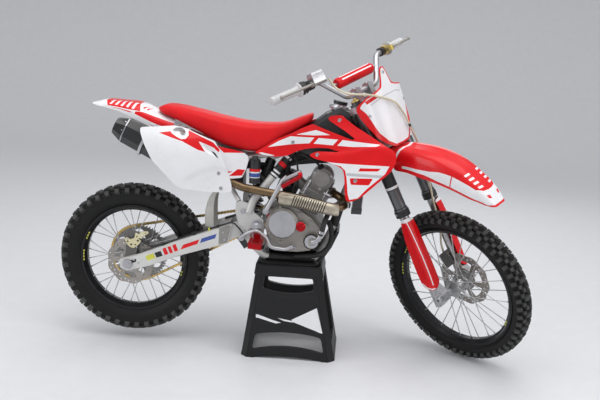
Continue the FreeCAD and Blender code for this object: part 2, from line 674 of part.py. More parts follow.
def crowned_sections(stations):
    """Seat sections: x, top, bottom and half width."""
    sections = []
    for x, top, low, half in stations:
        drop = min(22.0, 0.45 * (top - low))
        sections.append([V(x, -half, low), V(x, half, low), V(x, half * 1.04, low + 0.5 * (top - low)),
                         V(x, half * 0.94, top - drop), V(x, half * 0.62, top - 0.25 * drop), V(x, 0, top),
                         V(x, -half * 0.62, top - 0.25 * drop), V(x, -half * 0.94, top - drop),
                         V(x, -half * 1.04, low + 0.5 * (top - low))])
    return loft(sections)


def seat():
    """The seat, with the base's feet that stand on the rails."""
    cushion = crowned_sections([(-541, 936, 926, 48), (-520, 945, 914, 66), (-484, 947, 902, 76),
                                (-387, 932, 858, 82), (-290, 912, 811, 82), (-193, 898, 789, 76),
                                (-116, 896, 797, 68), (-59, 901, 846, 61), (-14, 917, 875, 56), (50, 944, 914, 50)])
    feet = []
    for x, underside in ((-232, 799), (-400, 865)):
        rail = at_x(RAIL[1], RAIL[2], x)
        for side in (-1, 1):
            feet.append(box(V(x - 14, side * rail.y - 6, rail.z), V(x + 14, side * rail.y + 6, underside + 4)))
    return cushion.multiFuse(feet)


def fuel_tank():
    stations = [(-40, 850, 800, 40), (0, 880, 800, 62), (50, 910, 790, 84), (100, 950, 780, 92),
                (152, 974, 784, 92), (196, 952, 800, 80), (228, 912, 830, 48)]
    tank = crowned_sections(stations)
    cap = rod(V(146, 0, 966), V(150, 0, 990), 27)
    return tank.fuse(cap)


def bowed_sheet(outline, levels, thickness):
    """A side panel: an (x, z) outline cut from a sheet bowed through (x, y) paths at rising heights."""
    sections = []
    for z, path in levels:
        outside = [V(x, y, z) for x, y in path]
        inside = [V(x, y + thickness, z) for x, y in reversed(path)]
        sections.append(outside + inside)
    return loft(sections).common(side_slab(outline, -400, 0))


def sheet_y(levels, x, z):
    """Where a bowed sheet's outside lies at a place on it."""
    at_height = []
    for level, path in levels:
        for start, end in zip(path, path[1:]):
            if start[0] <= x <= end[0]:
                at_height.append((level, start[1] + (end[1] - start[1]) * (x - start[0]) / (end[0] - start[0])))
    for (low, y_low), (high, y_high) in zip(at_height, at_height[1:]):
        if low <= z <= high:
            return y_low + (y_high - y_low) * (z - low) / (high - low)
    raise ValueError("no sheet there")


def boss(levels, x, z, seat_y, radius):
    """A post from the back of a bowed sheet to what carries it."""
    return rod(V(x, sheet_y(levels, x, z) + 1.5, z), V(x, seat_y, z), radius)


def shrouds():
    outline = [(-147, 803), (-50, 846), (52, 910), (108, 900), (109, 934), (120, 943), (159, 948), (171, 936),
               (227, 898), (321, 852), (357, 832), (376, 805), (343, 765), (310, 726), (231, 655), (203, 642),
               (190, 649), (184, 744), (155, 768), (107, 783), (62, 802), (12, 810), (-42, 789), (-79, 786)]
    levels = [(630, [(-200, -92), (-60, -104), (60, -140), (200, -176), (400, -192)]),
              (960, [(-200, -80), (-60, -84), (60, -100), (200, -132), (400, -168)])]
    posts = [boss(levels, 240, z, -RADIATOR_OUT - FIT, 6) for z in (690, 765)]
    posts.append(boss(levels, 128, 880, -60, 7))
    return both_sides(bowed_sheet(outline, levels, 4).multiFuse(posts))


def side_panels():
    outline = [(-592, 866), (-580, 806), (-549, 751), (-491, 690), (-449, 648), (-426, 640), (-240, 640),
               (-241, 693), (-211, 691), (-200, 715), (-188, 749), (-183, 773), (-202, 783), (-290, 802),
               (-309, 817), (-369, 832), (-520, 871)]
    levels = [(620, [(-640, -140), (-520, -154), (-400, -158), (-280, -138), (-150, -108)]),
              (830, [(-640, -138), (-520, -148), (-400, -148), (-280, -118), (-150, -94)]),
              (880, [(-640, -116), (-520, -122), (-400, -110), (-280, -96), (-150, -86)])]
    rail = at_x(RAIL[1], RAIL[2], -262)
    posts = [boss(levels, rail.x, rail.z, -rail.y - RAIL_R - FIT, 5)]
    posts.append(boss(levels, -222, 722, -AIRBOX_HALF_W - FIT, 5))
    return both_sides(bowed_sheet(outline, levels, 4).multiFuse(posts))


def arched(stations, thickness):
    """Fender sections: crown centre, side drop, half width and the crown's own direction."""
    outer_ring = [(-1.0, -1.0), (-0.97, -0.55), (-0.78, -0.16), (-0.4, -0.03), (0, 0), (0.4, -0.03), (0.78, -0.16),
                  (0.97, -0.55), (1.0, -1.0)]
    sections = []
    for centre, up, half, drop in stations:
        outside = [centre + V(0, y * half, 0) + up * (z * drop) for y, z in outer_ring]
        inner_half = half - thickness
        inside = [centre + V(0, y * inner_half, 0) + up * (z * drop - thickness * (1 + z)) for y, z in outer_ring]
        sections.append(outside + inside[::-1])
    return loft(sections)


def rear_fender():
    up = V(0, 0, 1)
    stations = [(V(-797, 0, 944), up, 40, 8), (V(-750, 0, 954), up, 62, 22), (V(-680, 0, 953), up, 72, 36),
                (V(-620, 0, 950), up, 80, 56), (V(-545, 0, 922), up, 84, 50), (V(-470, 0, 896), up, 84, 40)]
    return arched(stations, 4)


def mud_flap():
    return slab([V(-298, -42, 648.2), V(-298, 42, 648.2), V(-350, 50, 484), V(-350, -50, 484)], V(4, 0, 0))


# Small controls on the frame

def footpegs():
    peg = side_slab([(-160, 470), (-110, 466), (-110, 444), (-160, 448)], -205, -128)
    bracket = side_slab([(-150, 484), (-124, 484), (-120, 452), (-144, 452)], -128, -103)
    return both_sides(peg.fuse(bracket))


def foot_controls():
    """Brake pedal and kickstarter on the right, gear lever on the left."""
    pedal = bent_tube([V(-202, -111, 464), V(-176, -126, 486), V(-136, -136.5, 504), V(-98, -137, 474),
                       V(-84, -138, 440), V(-26, -140, 436), V(4, -140, 450)], 7, 30)
    pedal = pedal.fuse(rod(V(-197, -103, 464), V(-197, -116, 464), 12))
    gear = bent_tube([V(-40, CASE_HALF_W, 452), V(-40, 116, 452), V(20, 122, 448), V(60, 122, 456)], 6, 14)
    gear = gear.fuse(rod(V(60, 112, 456), V(60, 146, 456), 8))
    kick = disc(KICK_SHAFT, -CASE_HALF_W - 34 - FIT, -152, 11)
    kick = kick.fuse(bent_tube([KICK_SHAFT + V(0, -147, 0), V(-46, -152, 700), V(-30, -152, 716)], 8, 12))
    kick = kick.fuse(rod(V(-46, -153, 700), V(22, -160, 738), 8))
    return Part.makeCompound([pedal, gear, kick])


def engine_guard():
    """A plastic skid plate in front of the cradle's lower bend."""
    inner = [(98, 383), (138, 444), (163, 502)]
    outer = [(172, 499), (147, 439), (108, 377)]
    return side_slab(inner + outer, -78, 78)


# Front end, drawn with the bars straight

def triple_clamps():
    clamps = None
    for low, height in ((LOWER_CLAMP_U, LOWER_CLAMP_T), (TOP_CLAMP_U, TOP_CLAMP_T)):
        outline = [(-32, -26), (-20, -44), (FORK_LEAD - 34, -FORK_HALF_SPAN - 16),
                   (FORK_LEAD - 16, -FORK_HALF_SPAN - 34), (FORK_LEAD + 22, -FORK_HALF_SPAN - 34),
                   (FORK_LEAD + 30, -FORK_HALF_SPAN - 14), (FORK_LEAD + 20, -40)]
        outline = outline + [(ahead, -y) for ahead, y in reversed(outline)]
        clamp = slab([steer_point(ahead, low, y) for ahead, y in outline], STEER_UP * height)
        for side in (-1, 1):
            clamp = clamp.cut(rod(steer_point(FORK_LEAD, low - 1, side * FORK_HALF_SPAN),
                                  steer_point(FORK_LEAD, low + height + 1, side * FORK_HALF_SPAN), FORK_TUBE_R))
        clamps = clamp if clamps is None else clamps.fuse(clamp)
    stem = rod(steer_point(0, LOWER_CLAMP_U + 2), steer_point(0, TOP_CLAMP_U + TOP_CLAMP_T + 10), STEM_R)
    clamps = clamps.fuse(stem)
    for side in (-1, 1):
        post = slab([steer_point(ahead, TOP_CLAMP_U + TOP_CLAMP_T, side * y)
                     for ahead, y in ((-16, 24), (18, 24), (18, 48), (-16, 48))],
                    STEER_UP * (BAR_CLAMP_U + 18 - TOP_CLAMP_U - TOP_CLAMP_T))
        clamps = clamps.fuse(post)
    return clamps.cut(rod(steer_point(0, BAR_CLAMP_U, -90), steer_point(0, BAR_CLAMP_U, 90), BAR_R))


def fork_tubes():
    tubes = []
    for side in (-1, 1):
        y = side * FORK_HALF_SPAN
        tube = rod(steer_point(FORK_LEAD, FORK_TUBE_LOW, y), steer_point(FORK_LEAD, FORK_TOP, y), FORK_TUBE_R)
        tube = tube.fuse(rod(steer_point(FORK_LEAD, FORK_TUBE_LOW, y), steer_point(FORK_LEAD, FORK_TUBE_LOW + 30, y),
                             FORK_TUBE_R + 2.5))
        tube = tube.fuse(rod(steer_point(FORK_LEAD, FORK_TOP, y), steer_point(FORK_LEAD, FORK_TOP + 8, y), 17))
        tubes.append(tube)
    return Part.makeCompound(tubes)


def fork_legs():
    """Inner tubes with their feet, which carry the front axle."""
    legs = []
    for side in (-1, 1):
        y = side * FORK_HALF_SPAN
        leg = rod(steer_point(FORK_LEAD, -30, y), steer_point(FORK_LEAD, FORK_TUBE_LOW, y), FORK_LEG_R)
        foot = slab([steer_point(ahead, up, y - 17) for ahead, up in
                     ((FORK_LEAD - 14, -36), (FORK_LEAD + 12, -36), (FORK_OFFSET + 18, -14),
                      (FORK_OFFSET + 18, 14), (FORK_LEAD + 14, 60), (FORK_LEAD - 14, 60))], V(0, 34, 0))
        legs.append(leg.fuse(foot))
    axle = rod(FRONT_AXLE + V(0, -FORK_HALF_SPAN - 22, 0), FRONT_AXLE + V(0, FORK_HALF_SPAN + 22, 0), AXLE_R)
    right_spacer = disc(FRONT_AXLE, -FORK_HALF_SPAN + 17, -34 - FIT, 12)
    left_spacer = disc(FRONT_AXLE, FORK_HALF_SPAN - 17, FRONT_DISC_Y - DISC_T / 2, 12)
    return legs[0].fuse(axle).fuse(legs[1]).fuse(right_spacer).fuse(left_spacer)


def fork_guards():
    """Plastic guards over the front and outside of each lower leg."""
    solids = []
    sections = []
    inside_r = FORK_LEG_R + 5
    for up, ahead_reach, back_reach in ((40, 22, -30), (80, 26, -32), (200, 28, -28), (300, 26, -16),
                                        (336, 22, -6)):
        outer_y = -FORK_HALF_SPAN - inside_r - 3
        inner_y = -FORK_HALF_SPAN + 14
        front = FORK_LEAD + inside_r + ahead_reach - 18
        back = FORK_LEAD + back_reach
        outside = [steer_point(back, up, outer_y), steer_point(front - 14, up, outer_y),
                   steer_point(front, up, outer_y + 12), steer_point(front, up, inner_y)]
        inside = [steer_point(front - 3, up, inner_y), steer_point(front - 3, up, outer_y + 13),
                  steer_point(front - 15, up, outer_y + 3), steer_point(back, up, outer_y + 3)]
        sections.append(outside + inside)
    right = loft(sections)
    collar = sleeve(steer_point(FORK_LEAD, 318, -FORK_HALF_SPAN), steer_point(FORK_LEAD, 338, -FORK_HALF_SPAN),
                    FORK_LEG_R + 8.5, FORK_LEG_R + FIT)
    right = right.fuse(collar)
    solids.append(right)
    solids.append(mirrored(right))
    return Part.makeCompound(solids)


def front_fender():
    stations = []
    for ahead, up, half, drop in ((-34, 592, 46, 18), (20, LOWER_CLAMP_U - FIT, 50, 30),
                                  (62, LOWER_CLAMP_U - FIT, 58, 44), (139, 575, 66, 66),
                                  (201, 550, 70, 74), (257, 518, 70, 70), (307, 477, 66, 60), (351, 426, 58, 46),
                                  (388, 366, 48, 26), (402, 322, 36, 8)):
        slope = math.radians(62 if ahead > 340 else 34 if ahead > 120 else 6)
        normal = STEER_UP * math.cos(slope) + STEER_AHEAD * math.sin(slope)
        stations.append((steer_point(ahead, up), normal, half, drop))
    return arched(stations, 4)


def front_plate():
    """Number board, bowed round the front of the fork."""
    half_outline = [(597, 0), (597, 44), (622, 68), (655, 98), (700, 116), (745, 128), (790, 130), (825, 122),
                    (870, 98), (912, 62), (928, 40), (930, 0)]
    outline = [(up, -y) for up, y in half_outline[:-1]] + [(up, y) for up, y in reversed(half_outline[1:])]
    blank = slab([steer_point(20, up, y) for up, y in outline], STEER_AHEAD * 100)
    path = [(52, -136), (74, -104), (89, -56), (94, 0), (89, 56), (74, 104), (52, 136)]
    ring = path + [(ahead - 4, y) for ahead, y in reversed(path)]
    bow = slab([steer_point(ahead, 590, y) for ahead, y in ring], STEER_UP * 350)
    lugs = [rod(steer_point(FORK_LEAD + FORK_TUBE_R + FIT, 700, y), steer_point(77, 700, y), 8)
            for y in (-FORK_HALF_SPAN, FORK_HALF_SPAN)]
    return bow.common(blank).multiFuse(lugs)


def handlebar():
    points = []
    for side in (-1, 1):
        half = [steer_point(BAR_SWEEP, BAR_END_U, side * BAR_HALF_W), steer_point(-22, 930, side * 168),
                steer_point(0, BAR_CLAMP_U, side * 84)]
        points.append(half)
    route = points[0] + points[1][::-1]
    bar = bent_tube(route, BAR_R, 40)
    brace = rod(steer_point(-12, 893, -137), steer_point(-12, 893, 137), 6.5)
    return bar.fuse(brace)


def bar_pad():
    return sleeve(steer_point(-12, 893, -102), steer_point(-12, 893, 102), 22, 6.5 + FIT)


def grip_axis():
    inner = steer_point(-22, 930, -168)
    outer = steer_point(BAR_SWEEP, BAR_END_U, -BAR_HALF_W)
    return outer, (inner - outer).normalize()


def grips():
    outer, inward = grip_axis()
    grip = sleeve(outer - inward * 3, outer + inward * GRIP_LENGTH, GRIP_R, BAR_R + FIT)
    flange = sleeve(outer + inward * GRIP_LENGTH, outer + inward * (GRIP_LENGTH + 5), 26, BAR_R + FIT)
    grip = grip.fuse(flange).fuse(rod(outer - inward * 6, outer - inward * 1, GRIP_R))
    return both_sides(grip)


def right_controls():
    outer, inward = grip_axis()
    housing = sleeve(outer + inward * 118, outer + inward * 144, 22, BAR_R + FIT)
    clamp = sleeve(outer + inward * 152, outer + inward * 176, 18, BAR_R + FIT)
    ahead = STEER_AHEAD
    base = outer + inward * 150
    master = rod(base + ahead * 24, base + ahead * 30 + inward * 62, 11)
    reservoir = rod(base + ahead * 28 + inward * 30 + STEER_UP * 8, base + ahead * 28 + inward * 30 + STEER_UP * 34, 17)
    bridge = rod(outer + inward * 164, base + ahead * 26 + inward * 14, 10)
    lever = bent_tube([base + ahead * 30 + inward * 10, base + ahead * 62 - inward * 22, base + ahead * 66 - inward * 90,
                       base + ahead * 52 - inward * 148], 5, 30)
    ball = Part.makeSphere(8, base + ahead * 52 - inward * 148)
    inside = rod(outer, outer + inward * 210, BAR_R + FIT)
    brake = clamp.fuse(bridge).fuse(master).fuse(reservoir).fuse(lever).fuse(ball).cut(inside)
    return [housing, brake]


def left_perch():
    outer, inward = grip_axis()
    ahead = STEER_AHEAD
    base = outer + inward * 136
    clamp = sleeve(outer + inward * 126, outer + inward * 152, 18, BAR_R + FIT)
    perch = rod(outer + inward * 139, base + ahead * 32, 10)
    pivot = rod(base + ahead * 34 - STEER_UP * 9, base + ahead * 34 + STEER_UP * 9, 12)
    lever = bent_tube([base + ahead * 34, base + ahead * 62 - inward * 30, base + ahead * 64 - inward * 80,
                       base + ahead * 52 - inward * 128], 5, 30)
    ball = Part.makeSphere(8, base + ahead * 52 - inward * 128)
    inside = rod(outer, outer + inward * 210, BAR_R + FIT)
    return mirrored(clamp.fuse(perch).fuse(pivot).fuse(lever).fuse(ball).cut(inside))


def bar_controls():
    """Throttle housing, brake master cylinder and lever on the right, clutch perch and lever on the left."""
    return Part.makeCompound(right_controls() + [left_perch()])


def front_caliper():
    slot = DISC_T / 2 + RUNNING_GAP
    block = box(V(-30, FRONT_DISC_Y - 12, -24), V(30, FRONT_DISC_Y + 16, 24))
    block.translate(V(FRONT_DISC_R - 8, 0, 0))
    block.rotate(V(0, 0, 0), V(0, 1, 0), -140)
    block.translate(FRONT_AXLE)
    block = block.cut(disc(FRONT_AXLE, FRONT_DISC_Y - slot, FRONT_DISC_Y + slot, FRONT_DISC_R + 6))
    return block


def brake_hose():
    """From the master cylinder over the number board, down inside the left leg to the caliper."""
    route = [(18, 926, -153), (44, 934, -120), (82, 926, -82), (105, 892, -34), (110, 840, 20), (104, 760, 64),
             (92, 670, 88), (82, 580, 93), (74, 490, 88), (66, 410, 76), (58, 340, 64), (50, 270, 59),
             (34, 205, 58), (14, 160, 59), (6, 122.5, 60)]
    return bent_tube([steer_point(*point) for point in route], HOSE_R, 400)


def trim(parts, pairs):
    """Each first piece is cut back where it seats on or passes round the second."""
    for soft, hard in pairs:
        parts[soft] = parts[soft].cut(parts[hard])


def build():
    fixed = {
        "stand": stand(), "main_frame": main_frame(), "engine_cases": engine_cases(),
        "engine_side_cover": side_covers(), "cylinder": cylinder(), "intake": intake(),
        "exhaust_header": exhaust(), "muffler": muffler(), "radiators": radiators(), "swingarm": swingarm(),
        "rear_axle": rear_axle(), "shock": shock(), "chain_guide": chain_guide(), "chain": chain(),
        "rear_caliper": rear_caliper(), "seat": seat(), "fuel_tank": fuel_tank(), "shrouds": shrouds(),
        "side_panels": side_panels(), "rear_fender": rear_fender(), "mud_flap": mud_flap(),
        "footpegs": footpegs(), "foot_controls": foot_controls(), "engine_guard": engine_guard(),
    }
    steering = {
        "triple_clamps": triple_clamps(), "fork_tubes": fork_tubes(), "fork_legs": fork_legs(),
        "fork_guards": fork_guards(), "front_fender": front_fender(), "front_plate": front_plate(),
        "handlebar": handlebar(), "bar_pad": bar_pad(), "grips": grips(), "bar_controls": bar_controls(),
        "front_caliper": front_caliper(), "brake_hose": brake_hose(),
    }
    front_wheel = {
        "front_tyre": tyre(FRONT_TYRE_R, FRONT_TYRE_W, FRONT_BEAD_R, FRONT_RIM_W, FRONT_AXLE),
        "front_rim": rim(FRONT_BEAD_R, FRONT_RIM_W, FRONT_AXLE),
        "front_hub": front_hub(),
        "front_disc": brake_disc(FRONT_AXLE, FRONT_DISC_Y, FRONT_DISC_R, 30, 44, 6),
    }
    rear_wheel = {
        "rear_tyre": tyre(REAR_TYRE_R, REAR_TYRE_W, REAR_BEAD_R, REAR_RIM_W, REAR_AXLE),
        "rear_rim": rim(REAR_BEAD_R, REAR_RIM_W, REAR_AXLE),
        "rear_hub": rear_hub(),
        "rear_disc": brake_disc(REAR_AXLE, REAR_DISC_Y, REAR_DISC_R, 26, 44, 6),
        "rear_sprocket": rear_sprocket(),
    }
    trim(fixed, [("engine_cases", "cylinder"), ("engine_side_cover", "cylinder"), ("intake", "cylinder"),
                 ("exhaust_header", "cylinder"), ("exhaust_header", "muffler"), ("fuel_tank", "main_frame"),
                 ("rear_fender", "seat"), ("rear_fender", "main_frame"), ("seat", "main_frame"),
                 ("engine_guard", "main_frame"), ("shrouds", "fuel_tank")])
    trim(steering, [("fork_guards", "fork_legs"), ("front_caliper", "fork_legs"), ("brake_hose", "bar_controls"),
                    ("brake_hose", "front_caliper")])
    parts = {}
    parts.update(fixed)
    parts.update(rear_wheel)
    for name, shape in list(steering.items()) + list(front_wheel.items()):
        parts[name] = steered(shape)
    return parts


def main():
    os.makedirs("parts", exist_ok=True)
    for name, shape in build().items():
        if not shape.isValid():
            print("not valid:", name)
        print(name, len(shape.Solids), "solids", round(shape.Volume / 1000, 1), "cm3")
        shape.exportStep(os.path.join("parts", name + ".step"))


main()
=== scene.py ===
"""Looks of the small motocross bike on its paddock stand: camera, light, finishes and detailed pieces.
Metres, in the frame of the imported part; outlines are written in millimetres and scaled by MM."""

import math

import bpy
import numpy as np
from mathutils import Matrix, Vector
from mathutils.geometry import delaunay_2d_cdt


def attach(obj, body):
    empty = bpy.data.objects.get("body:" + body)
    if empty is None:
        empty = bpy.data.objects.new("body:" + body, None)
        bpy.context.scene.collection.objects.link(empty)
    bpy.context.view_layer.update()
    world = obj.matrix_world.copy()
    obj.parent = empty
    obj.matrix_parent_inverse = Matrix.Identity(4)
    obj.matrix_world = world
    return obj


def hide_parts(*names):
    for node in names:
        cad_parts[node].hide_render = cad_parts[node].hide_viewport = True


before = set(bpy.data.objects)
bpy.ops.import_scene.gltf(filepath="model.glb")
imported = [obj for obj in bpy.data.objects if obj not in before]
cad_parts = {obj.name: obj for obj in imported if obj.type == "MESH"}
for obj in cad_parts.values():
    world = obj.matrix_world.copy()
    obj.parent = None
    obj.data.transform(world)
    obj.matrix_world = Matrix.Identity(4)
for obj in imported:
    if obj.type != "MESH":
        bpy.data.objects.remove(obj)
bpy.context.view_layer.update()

# Layout, in millimetres, as in the part
MM = 0.001
RAKE = math.radians(26.3)
STEER_LOCK = math.radians(43.4)
REAR_AXLE = Vector((-636.0, 0.0, 331.6))
FRONT_AXLE = Vector((649.0, 0.0, 315.5))
FORK_OFFSET = 58.9
STEER_UP = Vector((-math.sin(RAKE), 0.0, math.cos(RAKE)))
STEER_AHEAD = Vector((math.cos(RAKE), 0.0, math.sin(RAKE)))
STEER_BASE = FRONT_AXLE - STEER_AHEAD * FORK_OFFSET
FRONT_BEAD_R = 241.3
REAR_BEAD_R = 203.2
AHEAD = Vector((1, 0, 0))
LEFT = Vector((0, 1, 0))
RIGHT = -LEFT
UP = Vector((0, 0, 1))
SMALL = Matrix.Scale(MM, 4)
TURN = Matrix.Rotation(-STEER_LOCK, 4, STEER_UP)
STEERED = SMALL @ Matrix.Translation(STEER_BASE) @ TURN @ Matrix.Translation(-STEER_BASE)


def steer_point(ahead, up, y):
    """A point of the front end with the bars straight, in millimetres."""
    return STEER_BASE + STEER_AHEAD * ahead + STEER_UP * up + Vector((0, y, 0))


# Materials

def node(tree, kind, **inputs):
    """A shader node with its inputs set by name."""
    made = tree.nodes.new(kind)
    for key, value in inputs.items():
        made.inputs[key.replace("_", " ")].default_value = value
    return made


def shaded(colour, factor):
    """A colour made darker or lighter, with an alpha of one."""
    return tuple(min(1.0, part * factor) for part in colour) + (1.0,)


ROUGH_SPREAD = 0.12
COAT_ROUGH = 0.08
GRAIN_SHARE = 0.5


def finish(name, colour, rough=0.4, metal=0.0, coat=0.0, tint=0.12, tint_scale=14.0, grain_scale=900.0,
           grain_depth=0.00004, streak=None, specular=0.5):
    """A surface with uneven colour, uneven gloss and a fine grain, worked out from its place on the piece."""
    material = bpy.data.materials.new(name)
    material.use_nodes = True
    tree = material.node_tree
    shader = tree.nodes["Principled BSDF"]
    for key, value in (("Metallic", metal), ("Coat Weight", coat), ("Coat Roughness", COAT_ROUGH),
                       ("Specular IOR Level", specular)):
        shader.inputs[key].default_value = value
    place = node(tree, "ShaderNodeTexCoord")
    source = place.outputs["Object"]
    if streak:
        stretch = node(tree, "ShaderNodeMapping")
        stretch.inputs["Scale"].default_value = streak
        tree.links.new(source, stretch.inputs["Vector"])
        source = stretch.outputs["Vector"]
    cloud = node(tree, "ShaderNodeTexNoise", Scale=tint_scale, Detail=6.0, Roughness=0.6)
    tree.links.new(place.outputs["Object"], cloud.inputs["Vector"])
    tone = node(tree, "ShaderNodeValToRGB")
    for element, position, factor in zip(tone.color_ramp.elements, (0.3, 0.7), (1.0 - tint, 1.0 + tint)):
        element.position = position
        element.color = shaded(colour, factor)
    tree.links.new(cloud.outputs["Fac"], tone.inputs["Fac"])
    tree.links.new(tone.outputs["Color"], shader.inputs["Base Color"])
    grain = node(tree, "ShaderNodeTexNoise", Scale=grain_scale, Detail=3.0)
    tree.links.new(source, grain.inputs["Vector"])
    spread = node(tree, "ShaderNodeMapRange")
    spread.inputs["To Min"].default_value = max(0.02, rough - ROUGH_SPREAD)
    spread.inputs["To Max"].default_value = min(1.0, rough + ROUGH_SPREAD)
    blend = node(tree, "ShaderNodeMath")
    blend.operation = "MULTIPLY_ADD"
    blend.inputs[1].default_value = GRAIN_SHARE
    tree.links.new(grain.outputs["Fac"], blend.inputs[0])
    tree.links.new(cloud.outputs["Fac"], blend.inputs[2])
    half = node(tree, "ShaderNodeMath")
    half.operation = "MULTIPLY"
    half.inputs[1].default_value = 0.67
    tree.links.new(blend.outputs[0], half.inputs[0])
    tree.links.new(half.outputs[0], spread.inputs["Value"])
    tree.links.new(spread.outputs["Result"], shader.inputs["Roughness"])
    bump = node(tree, "ShaderNodeBump", Strength=1.0, Distance=grain_depth)
    tree.links.new(grain.outputs["Fac"], bump.inputs["Height"])
    tree.links.new(bump.outputs["Normal"], shader.inputs["Normal"])
    return material


RED = (0.70, 0.004, 0.008)
WHITE = (0.80, 0.80, 0.82)

red_plastic = finish("red_plastic", RED, rough=0.32, coat=0.2, tint=0.06, grain_scale=350,
                     grain_depth=0.00003, specular=0.28)
white_plastic = finish("white_plastic", WHITE, rough=0.3, coat=0.35, tint=0.03, grain_scale=350,
                       grain_depth=0.00003)
black_plastic = finish("black_plastic", (0.012, 0.012, 0.013), rough=0.48, grain_scale=1400,
                       grain_depth=0.00006)
stand_plastic = finish("stand_plastic", (0.009, 0.009, 0.010), rough=0.45, grain_scale=1100,
                       grain_depth=0.0001, specular=0.35)
frame_paint = finish("frame_paint", (0.58, 0.575, 0.56), rough=0.42, metal=0.25, tint=0.07, grain_scale=600,
                     grain_depth=0.00004)
cast_alloy = finish("cast_alloy", (0.30, 0.29, 0.275), rough=0.48, metal=0.6, tint=0.25, grain_scale=1300,
                    grain_depth=0.0002)
cover_alloy = finish("cover_alloy", (0.31, 0.29, 0.265), rough=0.42, metal=0.5, tint=0.16, grain_scale=1500,
                     grain_depth=0.00012)
shield_steel = finish("shield_steel", (0.50, 0.45, 0.36), rough=0.36, metal=0.8, tint=0.2, tint_scale=30)
# Dark colour of the header shield's slot grooves: painted shade.
slot_painted_shade = finish("slot_painted_shade", (0.05, 0.04, 0.028), rough=0.5, metal=0.4)
header_steel = finish("header_steel", (0.19, 0.13, 0.075), rough=0.36, metal=1.0, tint=0.34, tint_scale=22)
muffler_alloy = finish("muffler_alloy", (0.014, 0.014, 0.015), rough=0.24, coat=0.4, tint=0.2, tint_scale=60,
                       grain_scale=800, grain_depth=0.00005)
radiator_alloy = finish("radiator_alloy", (0.06, 0.06, 0.065), rough=0.5, metal=0.5)
arm_alloy = finish("arm_alloy", (0.66, 0.655, 0.64), rough=0.42, metal=0.35, tint=0.05, streak=(1, 20, 20),
                   grain_scale=80)
steel = finish("steel", (0.5, 0.5, 0.52), rough=0.3, metal=1.0)
spring_paint = finish("spring_paint", (0.016, 0.016, 0.018), rough=0.35, coat=0.3)
chain_gold = finish("chain_gold", (0.66, 0.46, 0.17), rough=0.28, metal=1.0, tint=0.2)
caliper_paint = finish("caliper_paint", (0.16, 0.155, 0.15), rough=0.4, metal=0.7)
guard_gold = finish("guard_gold", (0.72, 0.66, 0.42), rough=0.35, metal=0.35)
red_vinyl = finish("red_vinyl", (0.66, 0.006, 0.010), rough=0.55, tint=0.08, grain_scale=420,
                   grain_depth=0.00025, specular=0.25)
tank_plastic = finish("tank_plastic", (0.020, 0.020, 0.022), rough=0.42, grain_scale=900, grain_depth=0.00006)
flap_rubber = finish("flap_rubber", (0.60, 0.59, 0.55), rough=0.5)
fork_dark = finish("fork_dark", (0.13, 0.13, 0.135), rough=0.3, metal=0.85, streak=(30, 30, 1),
                   grain_scale=60)
bright_steel = finish("bright_steel", (0.46, 0.46, 0.47), rough=0.28, metal=0.9, tint=0.16, tint_scale=30)
bar_alloy = finish("bar_alloy", (0.5, 0.5, 0.52), rough=0.35, metal=0.9)
grip_rubber = finish("grip_rubber", (0.58, 0.58, 0.58), rough=0.65, grain_scale=700, grain_depth=0.0001)
hose_sleeve = finish("hose_sleeve", (0.60, 0.54, 0.40), rough=0.5)
# One rubber in two colours: the carcass is a darker copy, painted shade between the knobs, and the knobs a
# lighter, lit copy.
shaded_tyre_rubber = finish("shaded_tyre_rubber", (0.006, 0.006, 0.006), rough=0.55, tint=0.3, tint_scale=40,
                     grain_scale=500, grain_depth=0.0002, specular=0.3)
lit_knob_rubber = finish("lit_knob_rubber", (0.034, 0.034, 0.033), rough=0.55, tint=0.4, tint_scale=60,
                     grain_scale=700, grain_depth=0.0003)
red_metal = finish("red_metal", (0.45, 0.006, 0.012), rough=0.28, metal=0.7, tint=0.1)
black_rubber = finish("black_rubber", (0.013, 0.013, 0.013), rough=0.55, grain_scale=700, grain_depth=0.00008)
gold_metal = finish("gold_metal", (0.56, 0.42, 0.12), rough=0.35, metal=0.8)
blue_print = finish("blue_print", (0.03, 0.07, 0.32), rough=0.35, coat=0.3, tint=0.04)
yellow_print = finish("yellow_print", (0.62, 0.62, 0.08), rough=0.4, tint=0.05)
rim_black = finish("rim_black", (0.02, 0.02, 0.022), rough=0.28, metal=0.6)
hub_alloy = finish("hub_alloy", (0.50, 0.50, 0.50), rough=0.36, metal=0.85, tint=0.2, tint_scale=40)
disc_steel = finish("disc_steel", (0.36, 0.335, 0.31), rough=0.42, metal=0.85, tint=0.2, grain_scale=300)
sprocket_alloy = finish("sprocket_alloy", (0.32, 0.31, 0.30), rough=0.4, metal=0.8, tint=0.2)
grey_print = finish("grey_print", (0.5, 0.51, 0.53), rough=0.35, coat=0.3, tint=0.04)
pad_cover = finish("pad_cover", (0.62, 0.006, 0.010), rough=0.5, tint=0.08, grain_scale=500,
                   grain_depth=0.0002, specular=0.25)

